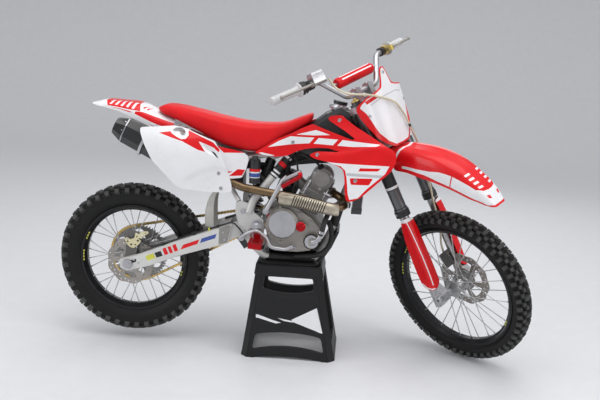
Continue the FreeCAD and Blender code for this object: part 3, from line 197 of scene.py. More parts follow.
NODE_FINISH = {
    "stand": stand_plastic, "main_frame": frame_paint, "engine_cases": cast_alloy,
    "engine_side_cover": cover_alloy, "cylinder": cast_alloy, "intake": black_plastic,
    "exhaust_header": header_steel, "muffler": muffler_alloy, "radiators": radiator_alloy,
    "swingarm": arm_alloy, "rear_axle": steel, "shock": spring_paint, "chain_guide": black_plastic,
    "chain": chain_gold, "rear_caliper": caliper_paint, "seat": red_vinyl, "fuel_tank": tank_plastic,
    "shrouds": red_plastic, "side_panels": white_plastic, "rear_fender": white_plastic,
    "mud_flap": flap_rubber, "footpegs": red_metal, "foot_controls": bar_alloy, "engine_guard": black_plastic,
    "triple_clamps": bar_alloy, "fork_tubes": fork_dark, "fork_legs": bright_steel,
    "fork_guards": red_plastic, "front_fender": red_plastic, "front_plate": white_plastic,
    "handlebar": bar_alloy, "bar_pad": red_vinyl, "grips": grip_rubber, "bar_controls": cover_alloy,
    "front_caliper": caliper_paint, "brake_hose": hose_sleeve, "front_tyre": shaded_tyre_rubber,
    "front_rim": rim_black, "front_hub": hub_alloy, "front_disc": disc_steel, "rear_tyre": shaded_tyre_rubber,
    "rear_rim": rim_black, "rear_hub": hub_alloy, "rear_disc": disc_steel, "rear_sprocket": sprocket_alloy,
}
for node_name, material in NODE_FINISH.items():
    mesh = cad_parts[node_name].data
    mesh.materials.clear()
    mesh.materials.append(material)


# Mesh tools

def smooth_at(keys, values, at):
    """The height at one place of a smooth curve through values at rising keys."""
    at = min(max(at, keys[0]), keys[-1])
    i = 0
    while i < len(keys) - 2 and at > keys[i + 1]:
        i += 1
    slopes = [(values[k + 1] - values[k]) / (keys[k + 1] - keys[k]) for k in range(len(keys) - 1)]
    step = keys[i + 1] - keys[i]
    t = (at - keys[i]) / step
    enter = slopes[i] if i == 0 else 0.5 * (slopes[i - 1] + slopes[i])
    leave = slopes[i] if i == len(slopes) - 1 else 0.5 * (slopes[i] + slopes[i + 1])
    return ((2 * t ** 3 - 3 * t ** 2 + 1) * values[i] + (t ** 3 - 2 * t ** 2 + t) * enter * step
            + (3 * t ** 2 - 2 * t ** 3) * values[i + 1] + (t ** 3 - t ** 2) * leave * step)


def smoothstep(value):
    """An even ramp from nought to one."""
    value = min(1.0, max(0.0, value))
    return value * value * (3 - 2 * value)


def make_piece(name, vertices, faces, materials, body, replaces=(), indices=None, matrix=SMALL,
               smooth=40.0):
    """A mesh piece in millimetres, placed, shaded and fixed to its body."""
    mesh = bpy.data.meshes.new(name)
    mesh.from_pydata([matrix @ Vector(v) for v in vertices], [], faces)
    for material in materials:
        mesh.materials.append(material)
    if indices:
        mesh.polygons.foreach_set("material_index", indices)
    mesh.shade_smooth()
    mesh.set_sharp_from_angle(angle=math.radians(smooth))
    mesh.update()
    piece = bpy.data.objects.new(name, mesh)
    bpy.context.scene.collection.objects.link(piece)
    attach(piece, body)
    if replaces:
        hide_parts(*replaces)
    return piece


def add_bevel(piece, width):
    """Rounds a piece's sharp edges off, by a width in millimetres."""
    bevel = piece.modifiers.new("edges", "BEVEL")
    bevel.width = width * MM
    bevel.segments = 2
    bevel.limit_method = "ANGLE"
    bevel.angle_limit = math.radians(50)
    bevel.harden_normals = False
    return piece


class Soup:
    """Vertices and faces of many small solids that make up one piece."""

    def __init__(self):
        self.vertices = []
        self.faces = []
        self.indices = []

    def add(self, vertices, faces, index):
        """Takes in one solid, all of one material."""
        start = len(self.vertices)
        self.vertices.extend(Vector(v) for v in vertices)
        self.faces.extend([start + k for k in face] for face in faces)
        self.indices.extend([index] * len(faces))

    def rings(self, rings, index=0, ends=True):
        """Skins a row of equal rings of points."""
        count = len(rings[0])
        vertices = [p for ring in rings for p in ring]
        faces = []
        for row in range(len(rings) - 1):
            for k in range(count):
                after = (k + 1) % count
                low, high = row * count, (row + 1) * count
                faces.append((low + k, low + after, high + after, high + k))
        if ends:
            faces.append(tuple(reversed(range(count))))
            faces.append(tuple(range((len(rings) - 1) * count, len(rings) * count)))
        self.add(vertices, faces, index)

    def rod(self, start, end, radius, sides=12, index=0, end_radius=None, chamfer=0.0):
        """A round bar between two points, with its ends chamfered."""
        start, end = Vector(start), Vector(end)
        axis = (end - start).normalized()
        across, beside = frame_round(axis)
        last = radius if end_radius is None else end_radius
        stops = [(start, radius), (end, last)]
        if chamfer:
            stops = [(start, radius - chamfer), (start + axis * chamfer, radius),
                     (end - axis * chamfer, last), (end, last - chamfer)]
        self.rings([[centre + (across * math.cos(a) + beside * math.sin(a)) * r for a in turns(sides)]
                    for centre, r in stops], index)

    def tube(self, points, radius, sides=10, index=0):
        """A round tube along a row of points."""
        points = [Vector(p) for p in points]
        rings = []
        across = None
        for k, point in enumerate(points):
            ahead = (points[min(k + 1, len(points) - 1)] - points[max(k - 1, 0)]).normalized()
            if across is None:
                across, beside = frame_round(ahead)
            across = (across - ahead * across.dot(ahead)).normalized()
            beside = ahead.cross(across)
            rings.append([point + (across * math.cos(a) + beside * math.sin(a)) * radius
                          for a in turns(sides)])
        self.rings(rings, index)

    def lathe(self, profile, centre, axis, sides=48, index=0):
        """An (along, radius) profile turned about an axis."""
        centre, axis = Vector(centre), Vector(axis).normalized()
        across, beside = frame_round(axis)
        self.rings([[centre + axis * along + (across * math.cos(a) + beside * math.sin(a)) * r
                     for a in turns(sides)] for along, r in profile], index)

    def band(self, low, high, inner, outer, centre, axis, sides=32, index=0):
        """A plain ring about an axis, between two distances along it and two radii."""
        self.lathe([(low, inner), (low, outer), (high, outer), (high, inner)], centre, axis, sides, index)

    def block(self, centre, ahead, across, up, size, top=1.0, index=0):
        """A block on its own axes, its top drawn in by a share, with a chamfer round the top."""
        half = [part / 2 for part in size]
        rings = []
        for height, share in ((-1.0, 1.0), (0.6, 0.5 + 0.5 * top), (1.0, top * 0.86)):
            rings.append([centre + ahead * (half[0] * a * share) + across * (half[1] * b * share)
                          + up * (half[2] * height) for a, b in ((-1, -1), (1, -1), (1, 1), (-1, 1))])
        self.rings(rings, index)

    def piece(self, name, materials, body, slot, replaces=(), matrix=SMALL, smooth=40.0):
        """All that was added, as one piece."""
        return make_piece(name, self.vertices, self.faces, materials, body, replaces, self.indices,
                          matrix, smooth)


def turns(count):
    """Even angles all the way round."""
    return [2 * math.pi * k / count for k in range(count)]


def circle(centre, radius, count, first=0.0):
    """Places round an upright circle seen from the side, from a first angle in degrees."""
    angles = [math.radians(first) + a for a in turns(count)]
    return [Vector(centre) + Vector((math.cos(a), 0, math.sin(a))) * radius for a in angles]


def frame_round(axis):
    """Two directions square to an axis and to each other."""
    helper = UP if abs(axis.z) < 0.9 else AHEAD
    across = axis.cross(helper).normalized()
    return across, axis.cross(across)


CORNER_STEPS = 4


def rounded(points, radius):
    """A closed outline with its corners rounded off."""
    outline = []
    count = len(points)
    for k in range(count):
        before, corner, after = (Vector(points[(k + s) % count]) for s in (-1, 0, 1))
        reach_in = min(radius, 0.45 * (before - corner).length)
        reach_out = min(radius, 0.45 * (after - corner).length)
        start = corner + (before - corner).normalized() * reach_in
        end = corner + (after - corner).normalized() * reach_out
        for step in range(CORNER_STEPS + 1):
            t = step / CORNER_STEPS
            outline.append(start * (1 - t) ** 2 + corner * 2 * t * (1 - t) + end * t ** 2)
    return outline


def divided(points, longest):
    """A closed outline with its long sides cut into short ones."""
    outline = []
    for start, end in zip(points, points[1:] + points[:1]):
        start, end = Vector(start), Vector(end)
        parts = max(1, math.ceil((end - start).length / longest))
        outline.extend(start.lerp(end, k / parts) for k in range(parts))
    return outline


def soft_line(points, steps=6):
    """A smooth line through a few places."""
    points = [Vector(p) for p in points]
    keys = list(range(len(points)))
    return [Vector([smooth_at(keys, [p[j] for p in points], k / steps) for j in range(3)])
            for k in range(steps * (len(points) - 1) + 1)]


def turned_left(points):
    """The outline with its points running anticlockwise."""
    area = sum(a[0] * b[1] - b[0] * a[1] for a, b in zip(points, points[1:] + points[:1]))
    return points if area > 0 else points[::-1]


def inside(points, u, v):
    """Which of many places lie inside an outline, as an array of booleans."""
    within = np.zeros(u.shape, bool)
    for start, end in zip(points, points[1:] + points[:1]):
        crosses = (start[1] > v) != (end[1] > v)
        rise = end[1] - start[1]
        edge = start[0] + (v - start[1]) * (end[0] - start[0]) / (rise if rise else 1e-9)
        within ^= crosses & (u < edge)
    return within


def edge_distance(points, u, v):
    """How far many places lie from an outline."""
    nearest = np.full(u.shape, 1e9)
    for start, end in zip(points, points[1:] + points[:1]):
        du, dv = end[0] - start[0], end[1] - start[1]
        t = np.clip(((u - start[0]) * du + (v - start[1]) * dv) / max(du * du + dv * dv, 1e-9), 0, 1)
        nearest = np.minimum(nearest, np.hypot(u - start[0] - t * du, v - start[1] - t * dv))
    return nearest


def bolt(soup, place, axis, radius, index=0, height=None):
    """A washer and a hexagonal head with a socket's chamfer, standing on a surface."""
    place, axis = Vector(place), Vector(axis).normalized()
    high = height or radius * 0.75
    soup.rod(place, place + axis * radius * 0.2, radius * 1.35, 18, index)
    soup.rod(place, place + axis * high, radius, 6, index, chamfer=radius * 0.14)


class Region:
    """A coloured area of a sheet. A depth sinks it, and a material of None cuts it out."""

    def __init__(self, points, material, depth=0.0, ramp=10.0, radius=0.0):
        self.points = points
        self.material = material
        self.depth = depth
        self.ramp = ramp
        self.radius = radius


ROW_SHARE = 0.87
CLEAR_SHARE = 0.4


def planned(outline, regions, corner, spacing, stretch):
    """The sheet laid out flat: its places, triangles, their materials and how deep each place is sunk."""
    def flat(points, radius):
        """An outline in millimetres, rounded, with its long sides divided."""
        points = [Vector((u, v * stretch)) for u, v in points]
        return turned_left(divided(rounded(points, radius) if radius else points, spacing))

    border = flat(outline, corner)
    shapes = [flat(region.points, region.radius) for region in regions]
    points, faces = [], []
    for shape in [border] + shapes:
        faces.append(list(range(len(points), len(points) + len(shape))))
        points.extend(shape)
    lows = [min(p[k] for p in border) for k in (0, 1)]
    highs = [max(p[k] for p in border) for k in (0, 1)]
    rows = np.arange(lows[1], highs[1], spacing * ROW_SHARE)
    grid = np.array([(u + (spacing / 2 if k % 2 else 0), v) for k, v in enumerate(rows)
                     for u in np.arange(lows[0], highs[0], spacing)])
    keep = inside(border, grid[:, 0], grid[:, 1])
    for shape in [border] + shapes:
        keep &= edge_distance(shape, grid[:, 0], grid[:, 1]) > spacing * CLEAR_SHARE
    points.extend(Vector(p) for p in grid[keep])
    laid, _, found, _, _, origins = delaunay_2d_cdt(points, [], faces, 1, 1e-4)
    triangles, indices = [], []
    for triangle, origin in zip(found, origins):
        if 0 not in origin:
            continue
        owner = max(origin)
        material = 0 if owner == 0 else regions[owner - 1].material
        if material is not None:
            triangles.append(tuple(triangle))
            indices.append(material)
    sink = np.zeros(len(laid))
    spots = np.array([tuple(p) for p in laid])
    for region, shape in zip(regions, shapes):
        if region.depth:
            within = inside(shape, spots[:, 0], spots[:, 1])
            far = np.clip(edge_distance(shape, spots[:, 0], spots[:, 1]) / region.ramp, 0, 1)
            sink += np.where(within, region.depth * far * far * (3 - 2 * far), 0.0)
    return laid, triangles, indices, sink


def thickened(front, normals, triangles, indices, thickness):
    """A sheet with its back and its rim added and unused vertices left out."""
    count = len(front)
    vertices = front + [p - n * thickness for p, n in zip(front, normals)]
    edges = {}
    for triangle, index in zip(triangles, indices):
        for a, b in zip(triangle, triangle[1:] + triangle[:1]):
            edges[(a, b)] = index
    faces = triangles + [(c + count, b + count, a + count) for a, b, c in triangles]
    indices = indices + [0] * len(triangles)
    for (a, b), index in edges.items():
        if (b, a) not in edges:
            faces.append((b, a, a + count, b + count))
            indices.append(index)
    used = sorted({k for face in faces for k in face})
    order = {k: n for n, k in enumerate(used)}
    return [vertices[k] for k in used], [tuple(order[k] for k in face) for face in faces], indices


def flipped(vertices, faces):
    """A mesh mirrored to the other side of the bike."""
    return [Vector((v.x, -v.y, v.z)) for v in vertices], [face[::-1] for face in faces]


def painted(name, outline, regions, place, outward, materials, body, slot, replaces=(), thickness=3.0,
            spacing=9.0, stretch=1.0, corner=5.0, matrix=SMALL, flip=False, bevel=0.9):
    """A moulded sheet cut to an outline, its colours set flush in it, laid on a curved surface.
    Outlines are in (u, v), with v stretched to millimetres while the mesh is laid out."""
    laid, triangles, indices, sink = planned(outline, regions, corner, spacing, stretch)
    front = [Vector(place(p[0], p[1] / stretch)) for p in laid]
    outward = Vector(outward)
    normals = [Vector() for _ in front]
    facing = Vector()
    for a, b, c in triangles:
        normal = (front[b] - front[a]).cross(front[c] - front[a])
        facing += normal
        for k in (a, b, c):
            normals[k] += normal
    side = 1.0 if facing.dot(outward) > 0 else -1.0
    normals = [n.normalized() * side if n.length else outward for n in normals]
    if side < 0:
        triangles = [(a, c, b) for a, b, c in triangles]
    front = [p - n * d for p, n, d in zip(front, normals, sink)]
    vertices, faces, indices = thickened(front, normals, triangles, indices, thickness)
    if flip:
        vertices, faces = flipped(vertices, faces)
    piece = make_piece(name, vertices, faces, materials, body, replaces, indices, matrix, smooth=38)
    return add_bevel(piece, bevel) if bevel else piece


def painted_pair(name, *sheet, **settings):
    """A sheet on the right side, and its mirror image on the left."""
    for side in ("right", "left"):
        painted(name + "_" + side, *sheet, flip=side == "left", **settings)


def mirrored(points):
    """The points in reverse, with v on the other side."""
    return [(u, -v) for u, v in reversed(points)]


def both_ways(points):
    """A closed outline made of points with v below zero and their mirror image."""
    return points + mirrored(points)


def slash(at, wide, shift, near, far, material, **settings):
    """A slanted bar between two levels of v, its far end moved along by a shift."""
    return Region([(at, near), (at + wide, near), (at + wide + shift, far), (at + shift, far)], material,
                  **settings)


# Painted panels of the body

PANEL_PAINTS = [white_plastic, red_plastic, black_plastic, grey_print]
RED_PAINTS = [red_plastic, white_plastic, black_plastic, grey_print]


def bowed(levels, x, z):
    """The distance across the bike of a panel bowed through (x, y) paths at rising heights."""
    heights = [level for level, _ in levels]
    sides = [smooth_at([p[0] for p in path], [p[1] for p in path], x) for _, path in levels]
    return smooth_at(heights, sides, z)


# The panels' distance across the bike, as (x, y) paths at rising heights
SHROUD_BOW = [(630, [(-200, -92), (-60, -104), (60, -140), (200, -176), (400, -192)]),
              (960, [(-200, -80), (-60, -84), (60, -100), (200, -132), (400, -168)])]
SIDE_BOW = [(620, [(-640, -140), (-520, -154), (-400, -158), (-280, -138), (-150, -108)]),
            (830, [(-640, -138), (-520, -148), (-400, -148), (-280, -118), (-150, -94)]),
            (880, [(-640, -116), (-520, -122), (-400, -110), (-280, -96), (-150, -86)])]
COVER_DEPTH = 9
SLOT_RIM_R = 2.6


def shroud_place(x, z):
    """The wing below the notch stands a little prouder than the long panel above it."""
    step = smooth_at([-160, 40, 170, 300, 380], [780, 800, 816, 850, 852], x)
    proud = 6.0 * smoothstep((step - z) / 16 + 0.5) * smoothstep((x - 30) / 90)
    top = smooth_at([-160, 60, 250, 380], [800, 908, 880, 840], x)
    lean = 10.0 * smoothstep((z - top + 34) / 60)
    return (x, bowed(SHROUD_BOW, x, z) - proud + lean, z)


def side_place(x, z):
    """The side panel, folded inwards below its crease."""
    crease = smooth_at([-480, -380, -300, -235], [640, 700, 728, 716], x)
    fold = 5.0 * smoothstep((crease - z) / 26 + 0.5) * smoothstep((x + 440) / 60)
    return (x, bowed(SIDE_BOW, x, z) + fold, z)


def cover_place(x, z):
    """The air box cover, set back behind the side panel."""
    return (x, bowed(SIDE_BOW, x, z) + COVER_DEPTH, z)


def add_shrouds():
    """The red shrouds beside the tank, with their white blocks and the grey stripe."""
    outline = [(-161, 789), (-120, 815), (-81, 842), (-25, 869), (13, 891), (52, 909), (88, 897), (140, 881),
               (200, 863), (212, 867), (178, 890), (134, 914), (111, 927), (110, 936), (119, 943), (159, 948),
               (173, 936), (209, 912), (252, 889), (318, 852), (352, 836), (362, 822), (363, 794), (347, 760),
               (317, 730), (243, 658), (207, 640), (191, 644), (186, 664), (180, 730), (174, 754), (157, 764),
               (114, 777), (66, 784), (46, 793), (56, 803), (76, 811), (108, 813), (160, 816), (116, 826),
               (74, 824), (36, 818), (-2, 805), (-35, 786), (-78, 778), (-110, 780), (-146, 785)]
    white, grey = 1, 3
    regions = [
        Region([(-112, 812), (-70, 838), (-28, 858), (62, 860), (44, 838), (-18, 830)], white),
        Region([(78, 860), (150, 860), (132, 838), (60, 838)], white),
        Region([(166, 860), (304, 853), (290, 846), (206, 838), (148, 838)], white),
        Region([(-6, 866), (66, 888), (92, 882), (120, 874), (60, 868)], white),
        # A thin white streak along the lower edge of the rear tip: painted highlight.
        Region([(-146, 789), (-132, 791), (-84, 783), (-98, 780), (-127, 782)], white),
        Region([(88, 778), (143, 776), (340, 779), (326, 750), (262, 690), (233, 656), (203, 648), (196, 668),
                (189, 724), (182, 752), (165, 766)], white),
        Region([(186, 744), (320, 745), (311, 735), (188, 734)], grey),
        Region([(236, 765), (311, 769), (299, 758), (229, 753)], 0),
        Region([(200, 726), (284, 731), (271, 706), (205, 703)], 0, radius=5),
    ]
    painted_pair("shroud", outline, regions, shroud_place, RIGHT, RED_PAINTS, "chassis", "red_plastic",
                 replaces=("shrouds",), corner=7, spacing=8)


def add_side_panels():
    """The white side panels with their red print, sunk hollow, lower lip and slot, and the air box covers."""
    outline = [(-585, 866), (-550, 870), (-510, 873), (-458, 878), (-412, 870), (-369, 853), (-305, 829),
               (-288, 800), (-267, 754), (-240, 672), (-236, 642), (-262, 638), (-323, 639), (-417, 648),
               (-446, 662), (-495, 712), (-535, 752), (-565, 807), (-583, 850)]
    red, black = 1, 2
    loop = [(-466, 862), (-452, 872), (-432, 873), (-418, 866), (-411, 855), (-414, 846), (-424, 843),
            (-432, 850), (-440, 858), (-452, 856)]
    regions = [
        Region([(-512, 851), (-470, 858), (-462, 850), (-440, 838), (-426, 832), (-410, 834), (-401, 846),
                (-404, 864), (-369, 850), (-311, 824), (-285, 798), (-289, 788), (-311, 806), (-362, 826),
                (-337, 789), (-362, 796), (-421, 825), (-465, 837)], red),
        Region([(-362, 827), (-338, 818), (-304, 803), (-284, 764), (-310, 776), (-337, 790)], 0, depth=7,
               ramp=9, radius=6),
        Region([(-316, 794), (-301, 786), (-288, 765), (-299, 772)], black, radius=3),
        Region([(-583, 848), (-560, 850), (-546, 800), (-520, 756), (-478, 712), (-434, 670), (-415, 656),
                (-300, 646), (-242, 650), (-236, 644), (-262, 640), (-323, 641), (-417, 650), (-446, 664),
                (-494, 714), (-533, 754), (-563, 808)], 0, depth=1.2, ramp=5),
        Region(loop, None, radius=5),
    ]
    cover = [(-300, 812), (-281, 806), (-240, 799), (-202, 790), (-184, 777), (-180, 762), (-188, 728),
             (-203, 694), (-237, 690), (-262, 690), (-276, 750)]
    bands = [Region([(-300, 812), (-281, 806), (-240, 799), (-202, 790), (-196, 787), (-272, 786)], red),
             Region([(-250, 700), (-219, 726), (-192, 724), (-202, 702), (-236, 700)], red),
             Region([(-262, 716), (-238, 718), (-246, 712), (-262, 710)], red)]
    painted_pair("side_panel", outline, regions, side_place, RIGHT, PANEL_PAINTS, "chassis", "white_plastic",
                 replaces=("side_panels",), corner=8, spacing=8)
    painted_pair("airbox_cover", cover, bands, cover_place, RIGHT, PANEL_PAINTS, "chassis", "white_plastic",
                 corner=6, spacing=8)
    add_slot_rims(loop)


def add_slot_rims(loop):
    """A raised round edge along the slot of each side panel."""
    ring = [Vector(side_place(u, v)) + LEFT for u, v in rounded(loop, 5)]
    sections = []
    for k, spot in enumerate(ring):
        beside = (spot - ring[k - 1]).normalized().cross(LEFT)
        sections.append([spot + (RIGHT * math.cos(a) + beside * math.sin(a)) * SLOT_RIM_R for a in turns(8)])
    for side in ("right", "left"):
        rim = Soup()
        rim.rings(sections + sections[:1], ends=False)
        if side == "left":
            rim.vertices, rim.faces = flipped(rim.vertices, rim.faces)
        rim.piece("panel_slot_rim_" + side, [white_plastic], "chassis", "white_plastic")


# Fenders

ARCH_KEYS = [0.0, 0.25, 0.5, 0.75, 1.0]
ARCH_OUT = [0.0, 0.4, 0.78, 0.97, 1.0]
ARCH_DOWN = [0.0, 0.03, 0.16, 0.55, 1.0]

# Stations along the fenders: the place along and up, the half width, and the drop to the edge
REAR_STATIONS = [(-797, 944, 40, 8), (-750, 954, 62, 22), (-680, 953, 72, 36), (-620, 950, 80, 56),
                 (-545, 922, 84, 50), (-470, 896, 84, 40)]
FRONT_STATIONS = [(-34, 592, 46, 18), (20, 599.7, 50, 40), (62, 599.7, 58, 76), (139, 575, 66, 80),
                  (201, 550, 70, 86), (257, 518, 70, 84), (307, 477, 68, 78), (351, 426, 62, 68),
                  (388, 366, 54, 50), (403, 322, 44, 28), (409, 297, 34, 12)]


def arch(v):
    """How far out and down an arched section has come at a share of its half, as shares."""
    out = smooth_at(ARCH_KEYS, ARCH_OUT, abs(v))
    down = smooth_at(ARCH_KEYS, ARCH_DOWN, abs(v))
    return math.copysign(out, v), down


def rear_fender_place(x, v):
    """A place on the arched tail, with a flat ridge along its middle."""
    keys = [s[0] for s in REAR_STATIONS]
    z, half, drop = (smooth_at(keys, [s[k] for s in REAR_STATIONS], x) for k in (1, 2, 3))
    out, down = arch(v)
    ridge = 3.0 * smoothstep((0.52 - abs(v)) / 0.1) * smoothstep((x + 790) / 60)
    return (x, out * half, z - down * drop - 3.0 + ridge)


FRONT_LENGTHS = [0.0]
for start_station, end_station in zip(FRONT_STATIONS, FRONT_STATIONS[1:]):
    FRONT_LENGTHS.append(FRONT_LENGTHS[-1] + math.dist(start_station[:2], end_station[:2]))


def front_fender_place(along, v):
    """A place on the arched front fender, with a ridge along each side of a shallow valley."""
    def at(k, where):
        """One measure of the stations, at a length along the fender."""
        return smooth_at(FRONT_LENGTHS, [s[k] for s in FRONT_STATIONS], where)

    run = Vector((at(0, along + 2) - at(0, along - 2), at(1, along + 2) - at(1, along - 2))).normalized()
    out, down = arch(v)
    fade_in = smoothstep((along - 90) / 60)
    ridge = 3.5 * smoothstep((0.5 - abs(v)) / 0.09) * fade_in * smoothstep((460 - along) / 60)
    valley = 2.0 * smoothstep((0.2 - abs(v)) / 0.09) * fade_in
    fall = down * at(3, along) + valley - ridge + 3.5
    return steer_point(at(0, along) + run.y * fall, at(1, along) - run.x * fall, out * at(2, along))


def add_rear_fender():
    """The white tail with its red prints and slashes."""
    border = both_ways([(-797, -0.4), (-794, -0.7), (-786, -0.9), (-772, -1.0), (-700, -1.0), (-600, -1.0),
                        (-470, -1.0)])
    white, red = 0, 1
    middle = [(-738, -0.3), (-727, -0.8), (-650, -0.74), (-599, -0.66), (-606, -0.33)]
    flank = [(-617, 0.72), (-588, 0.64), (-555, 0.62), (-470, 0.61), (-470, 0.86), (-510, 0.93), (-536, 0.91),
             (-577, 0.87), (-621, 0.82)]
    streak = [(-712, 0.88), (-640, 0.84), (-628, 0.80), (-640, 0.79), (-712, 0.85)]
    regions = [Region(both_ways(middle), red)]
    for side in (-1, 1):
        regions += [slash(-722 + 22 * k, 9, 13, 0.66 * side, 0.3 * side, white) for k in range(5)]
        regions += [Region([(u, v * side) for u, v in points], red) for points in (flank, streak)]
        regions += [slash(at, 6, 16, 0.5 * side, 0.2 * side, red) for at in (-592, -578)]
    painted("rear_fender_shell", border, regions, rear_fender_place, UP, PANEL_PAINTS, "chassis",
            "white_plastic", replaces=("rear_fender",), stretch=95, corner=4, spacing=8)


def add_front_fender():
    """The long red fender, its white print with slashes near the tip and a bar across each flank."""
    border = both_ways([(0, -1.0), (300, -1.0), (515, -1.0), (555, -0.97), (574, -0.84), (583, -0.5)])
    red, white = 0, 1
    upper = [(157, -0.84), (230, -0.81), (294, -0.76), (338, -0.68), (387, -0.63), (440, -0.6), (490, -0.56),
             (511, -0.36), (516, -0.12)]
    lower = [(575, -0.12), (574, -0.5), (562, -0.82), (520, -0.91), (430, -0.93), (338, -0.93), (265, -0.89),
             (157, -0.91)]
    chevron = [(122, -0.62), (137, -0.3), (146, 0.0), (137, 0.3), (122, 0.62), (130, 0.66), (148, 0.34),
               (158, 0.0), (148, -0.34), (130, -0.66)]
    regions = [Region(both_ways(upper) + mirrored(lower) + lower, white), Region(chevron, white)]
    for side in (-1, 1):
        regions += [slash(424 + 21 * k, 9, 3, 0.42 * side, 0.2 * side, white) for k in range(4)]
        regions.append(slash(530, 14, 4, 0.42 * side, 0.26 * side, red))
        regions.append(slash(388, 5, 12, 0.63 * side, 0.93 * side, red))
    painted("front_fender_shell", border, regions, front_fender_place, (0.5, 0, 1), RED_PAINTS, "front_end",
            "red_plastic", replaces=("front_fender",), stretch=100, corner=5, spacing=8, matrix=STEERED)


# Number board and fork guards

def plate_place(y, up):
    """A place on the number board, bowed across and leaning back."""
    ahead = smooth_at([-128, -112, -84, -46, 0, 46, 84, 112, 128], [22, 56, 72, 88, 96, 88, 72, 56, 22], y)
    return steer_point(ahead - 3 + 0.13 * (up - 577), up, y)


def whole(half):
    """A closed outline from its right half, mirrored about the middle line."""
    return half[:-1] + [(-y, up) for y, up in reversed(half[1:])]


def add_front_plate():
    """The white number board with its red border and shoulder block and a grey line, left blank."""
    red, white, grey = 0, 1, 3
    outer = [(0, 597), (-40, 597), (-70, 620), (-98, 655), (-114, 700), (-122, 745), (-125, 780), (-119, 796),
             (-100, 806), (-62, 812), (-34, 822), (-25, 840), (-18, 868), (-11, 886), (0, 890)]
    inner = [(0, 604), (-36, 606), (-60, 628), (-84, 668), (-98, 712), (-108, 752), (-118, 782), (-113, 792),
             (-97, 801), (-60, 807), (-28, 818), (-20, 840), (-13, 868), (-7, 882), (0, 885)]
    line = [(-88, 778), (-40, 790), (40, 790), (88, 778), (86, 774), (40, 786), (-40, 786), (-86, 774)]
    regions = [Region(whole(inner), white, radius=4),
               Region([(-104, 797), (-62, 803), (-52, 792), (-98, 784)], red, radius=3), Region(line, grey)]
    painted("number_board", whole(outer), regions, plate_place, AHEAD, RED_PAINTS, "front_end",
            "white_plastic", replaces=("front_plate",), corner=8, spacing=9, matrix=STEERED, thickness=3.5)


GUARD_UPS = [40, 80, 200, 300, 336]
GUARD_FRONT = [22, 26, 28, 26, 22]
GUARD_BACK = [-30, -32, -28, -16, -6]
GUARD_WIDE = 100.0


def guard_place(across, up):
    """Across the outside of the leg from its back edge, then round its front."""
    share = across / GUARD_WIDE
    turns_at = [0, 0.3, 0.6, 0.8, 1]
    front = 35.5 + smooth_at(GUARD_UPS, GUARD_FRONT, up)
    back = 30 + smooth_at(GUARD_UPS, GUARD_BACK, up)
    ahead = smooth_at(turns_at, [back, back + 0.55 * (front - back), front - 7, front, front - 1], share)
    y = smooth_at(turns_at, [-109, -113.5, -112, -100, -74], share)
    return steer_point(ahead, up, y)


def add_fork_guards():
    """The red guards round the fork legs, with a white top, a white line and a white lower edge."""
    outline = [(2, 62), (0, 110), (0, 250), (6, 330), (20, 336), (80, 336), (100, 330), (100, 60), (86, 44),
               (50, 38), (20, 44)]
    white = 1
    edge = [(2, 66), (20, 47), (50, 41), (70, 43), (70, 48), (50, 47), (22, 53), (5, 72)]
    line = [(62, 60), (68, 60), (70, 180), (67, 322), (61, 322), (64, 180)]
    top = [(0, 322), (100, 322), (100, 337), (0, 337)]
    painted_pair("fork_guard", outline, [Region(points, white) for points in (edge, line, top)], guard_place,
                 (0.3, -1, 0), RED_PAINTS, "front_end", "red_plastic", replaces=("fork_guards",), corner=6,
                 spacing=9, matrix=STEERED)


# Tyres

KNOB_HIGH = 18.0
KNOB_TAPER = 0.92
SPLIT_KNOB_WIDE = 13
SPLIT_KNOB_Y = 10
SHOULDER_FALL = 19.5


def tyre_profile(radius, half, bead_r, heel):
    """The carcass cut across, from the right bead over the crown to the left one and back inside."""
    base = radius - 15
    foot = bead_r + 1.6
    rise = radius - bead_r
    outer = [(heel, foot), (heel, bead_r + 11), (heel + 3, bead_r + 15), (half * 0.78, bead_r + 0.28 * rise),
             (half * 0.88, bead_r + 0.5 * rise), (half * 0.84, base - 13), (half * 0.68, base - 5),
             (half * 0.4, base - 1), (0, base)]
    inner = [(-heel + 9, foot), (-half * 0.5, bead_r + 26), (-half * 0.4, base - 14), (half * 0.4, base - 14),
             (half * 0.5, bead_r + 26), (heel - 9, foot), (heel, foot)]
    return outer + [(-y, r) for y, r in reversed(outer[:-1])] + inner


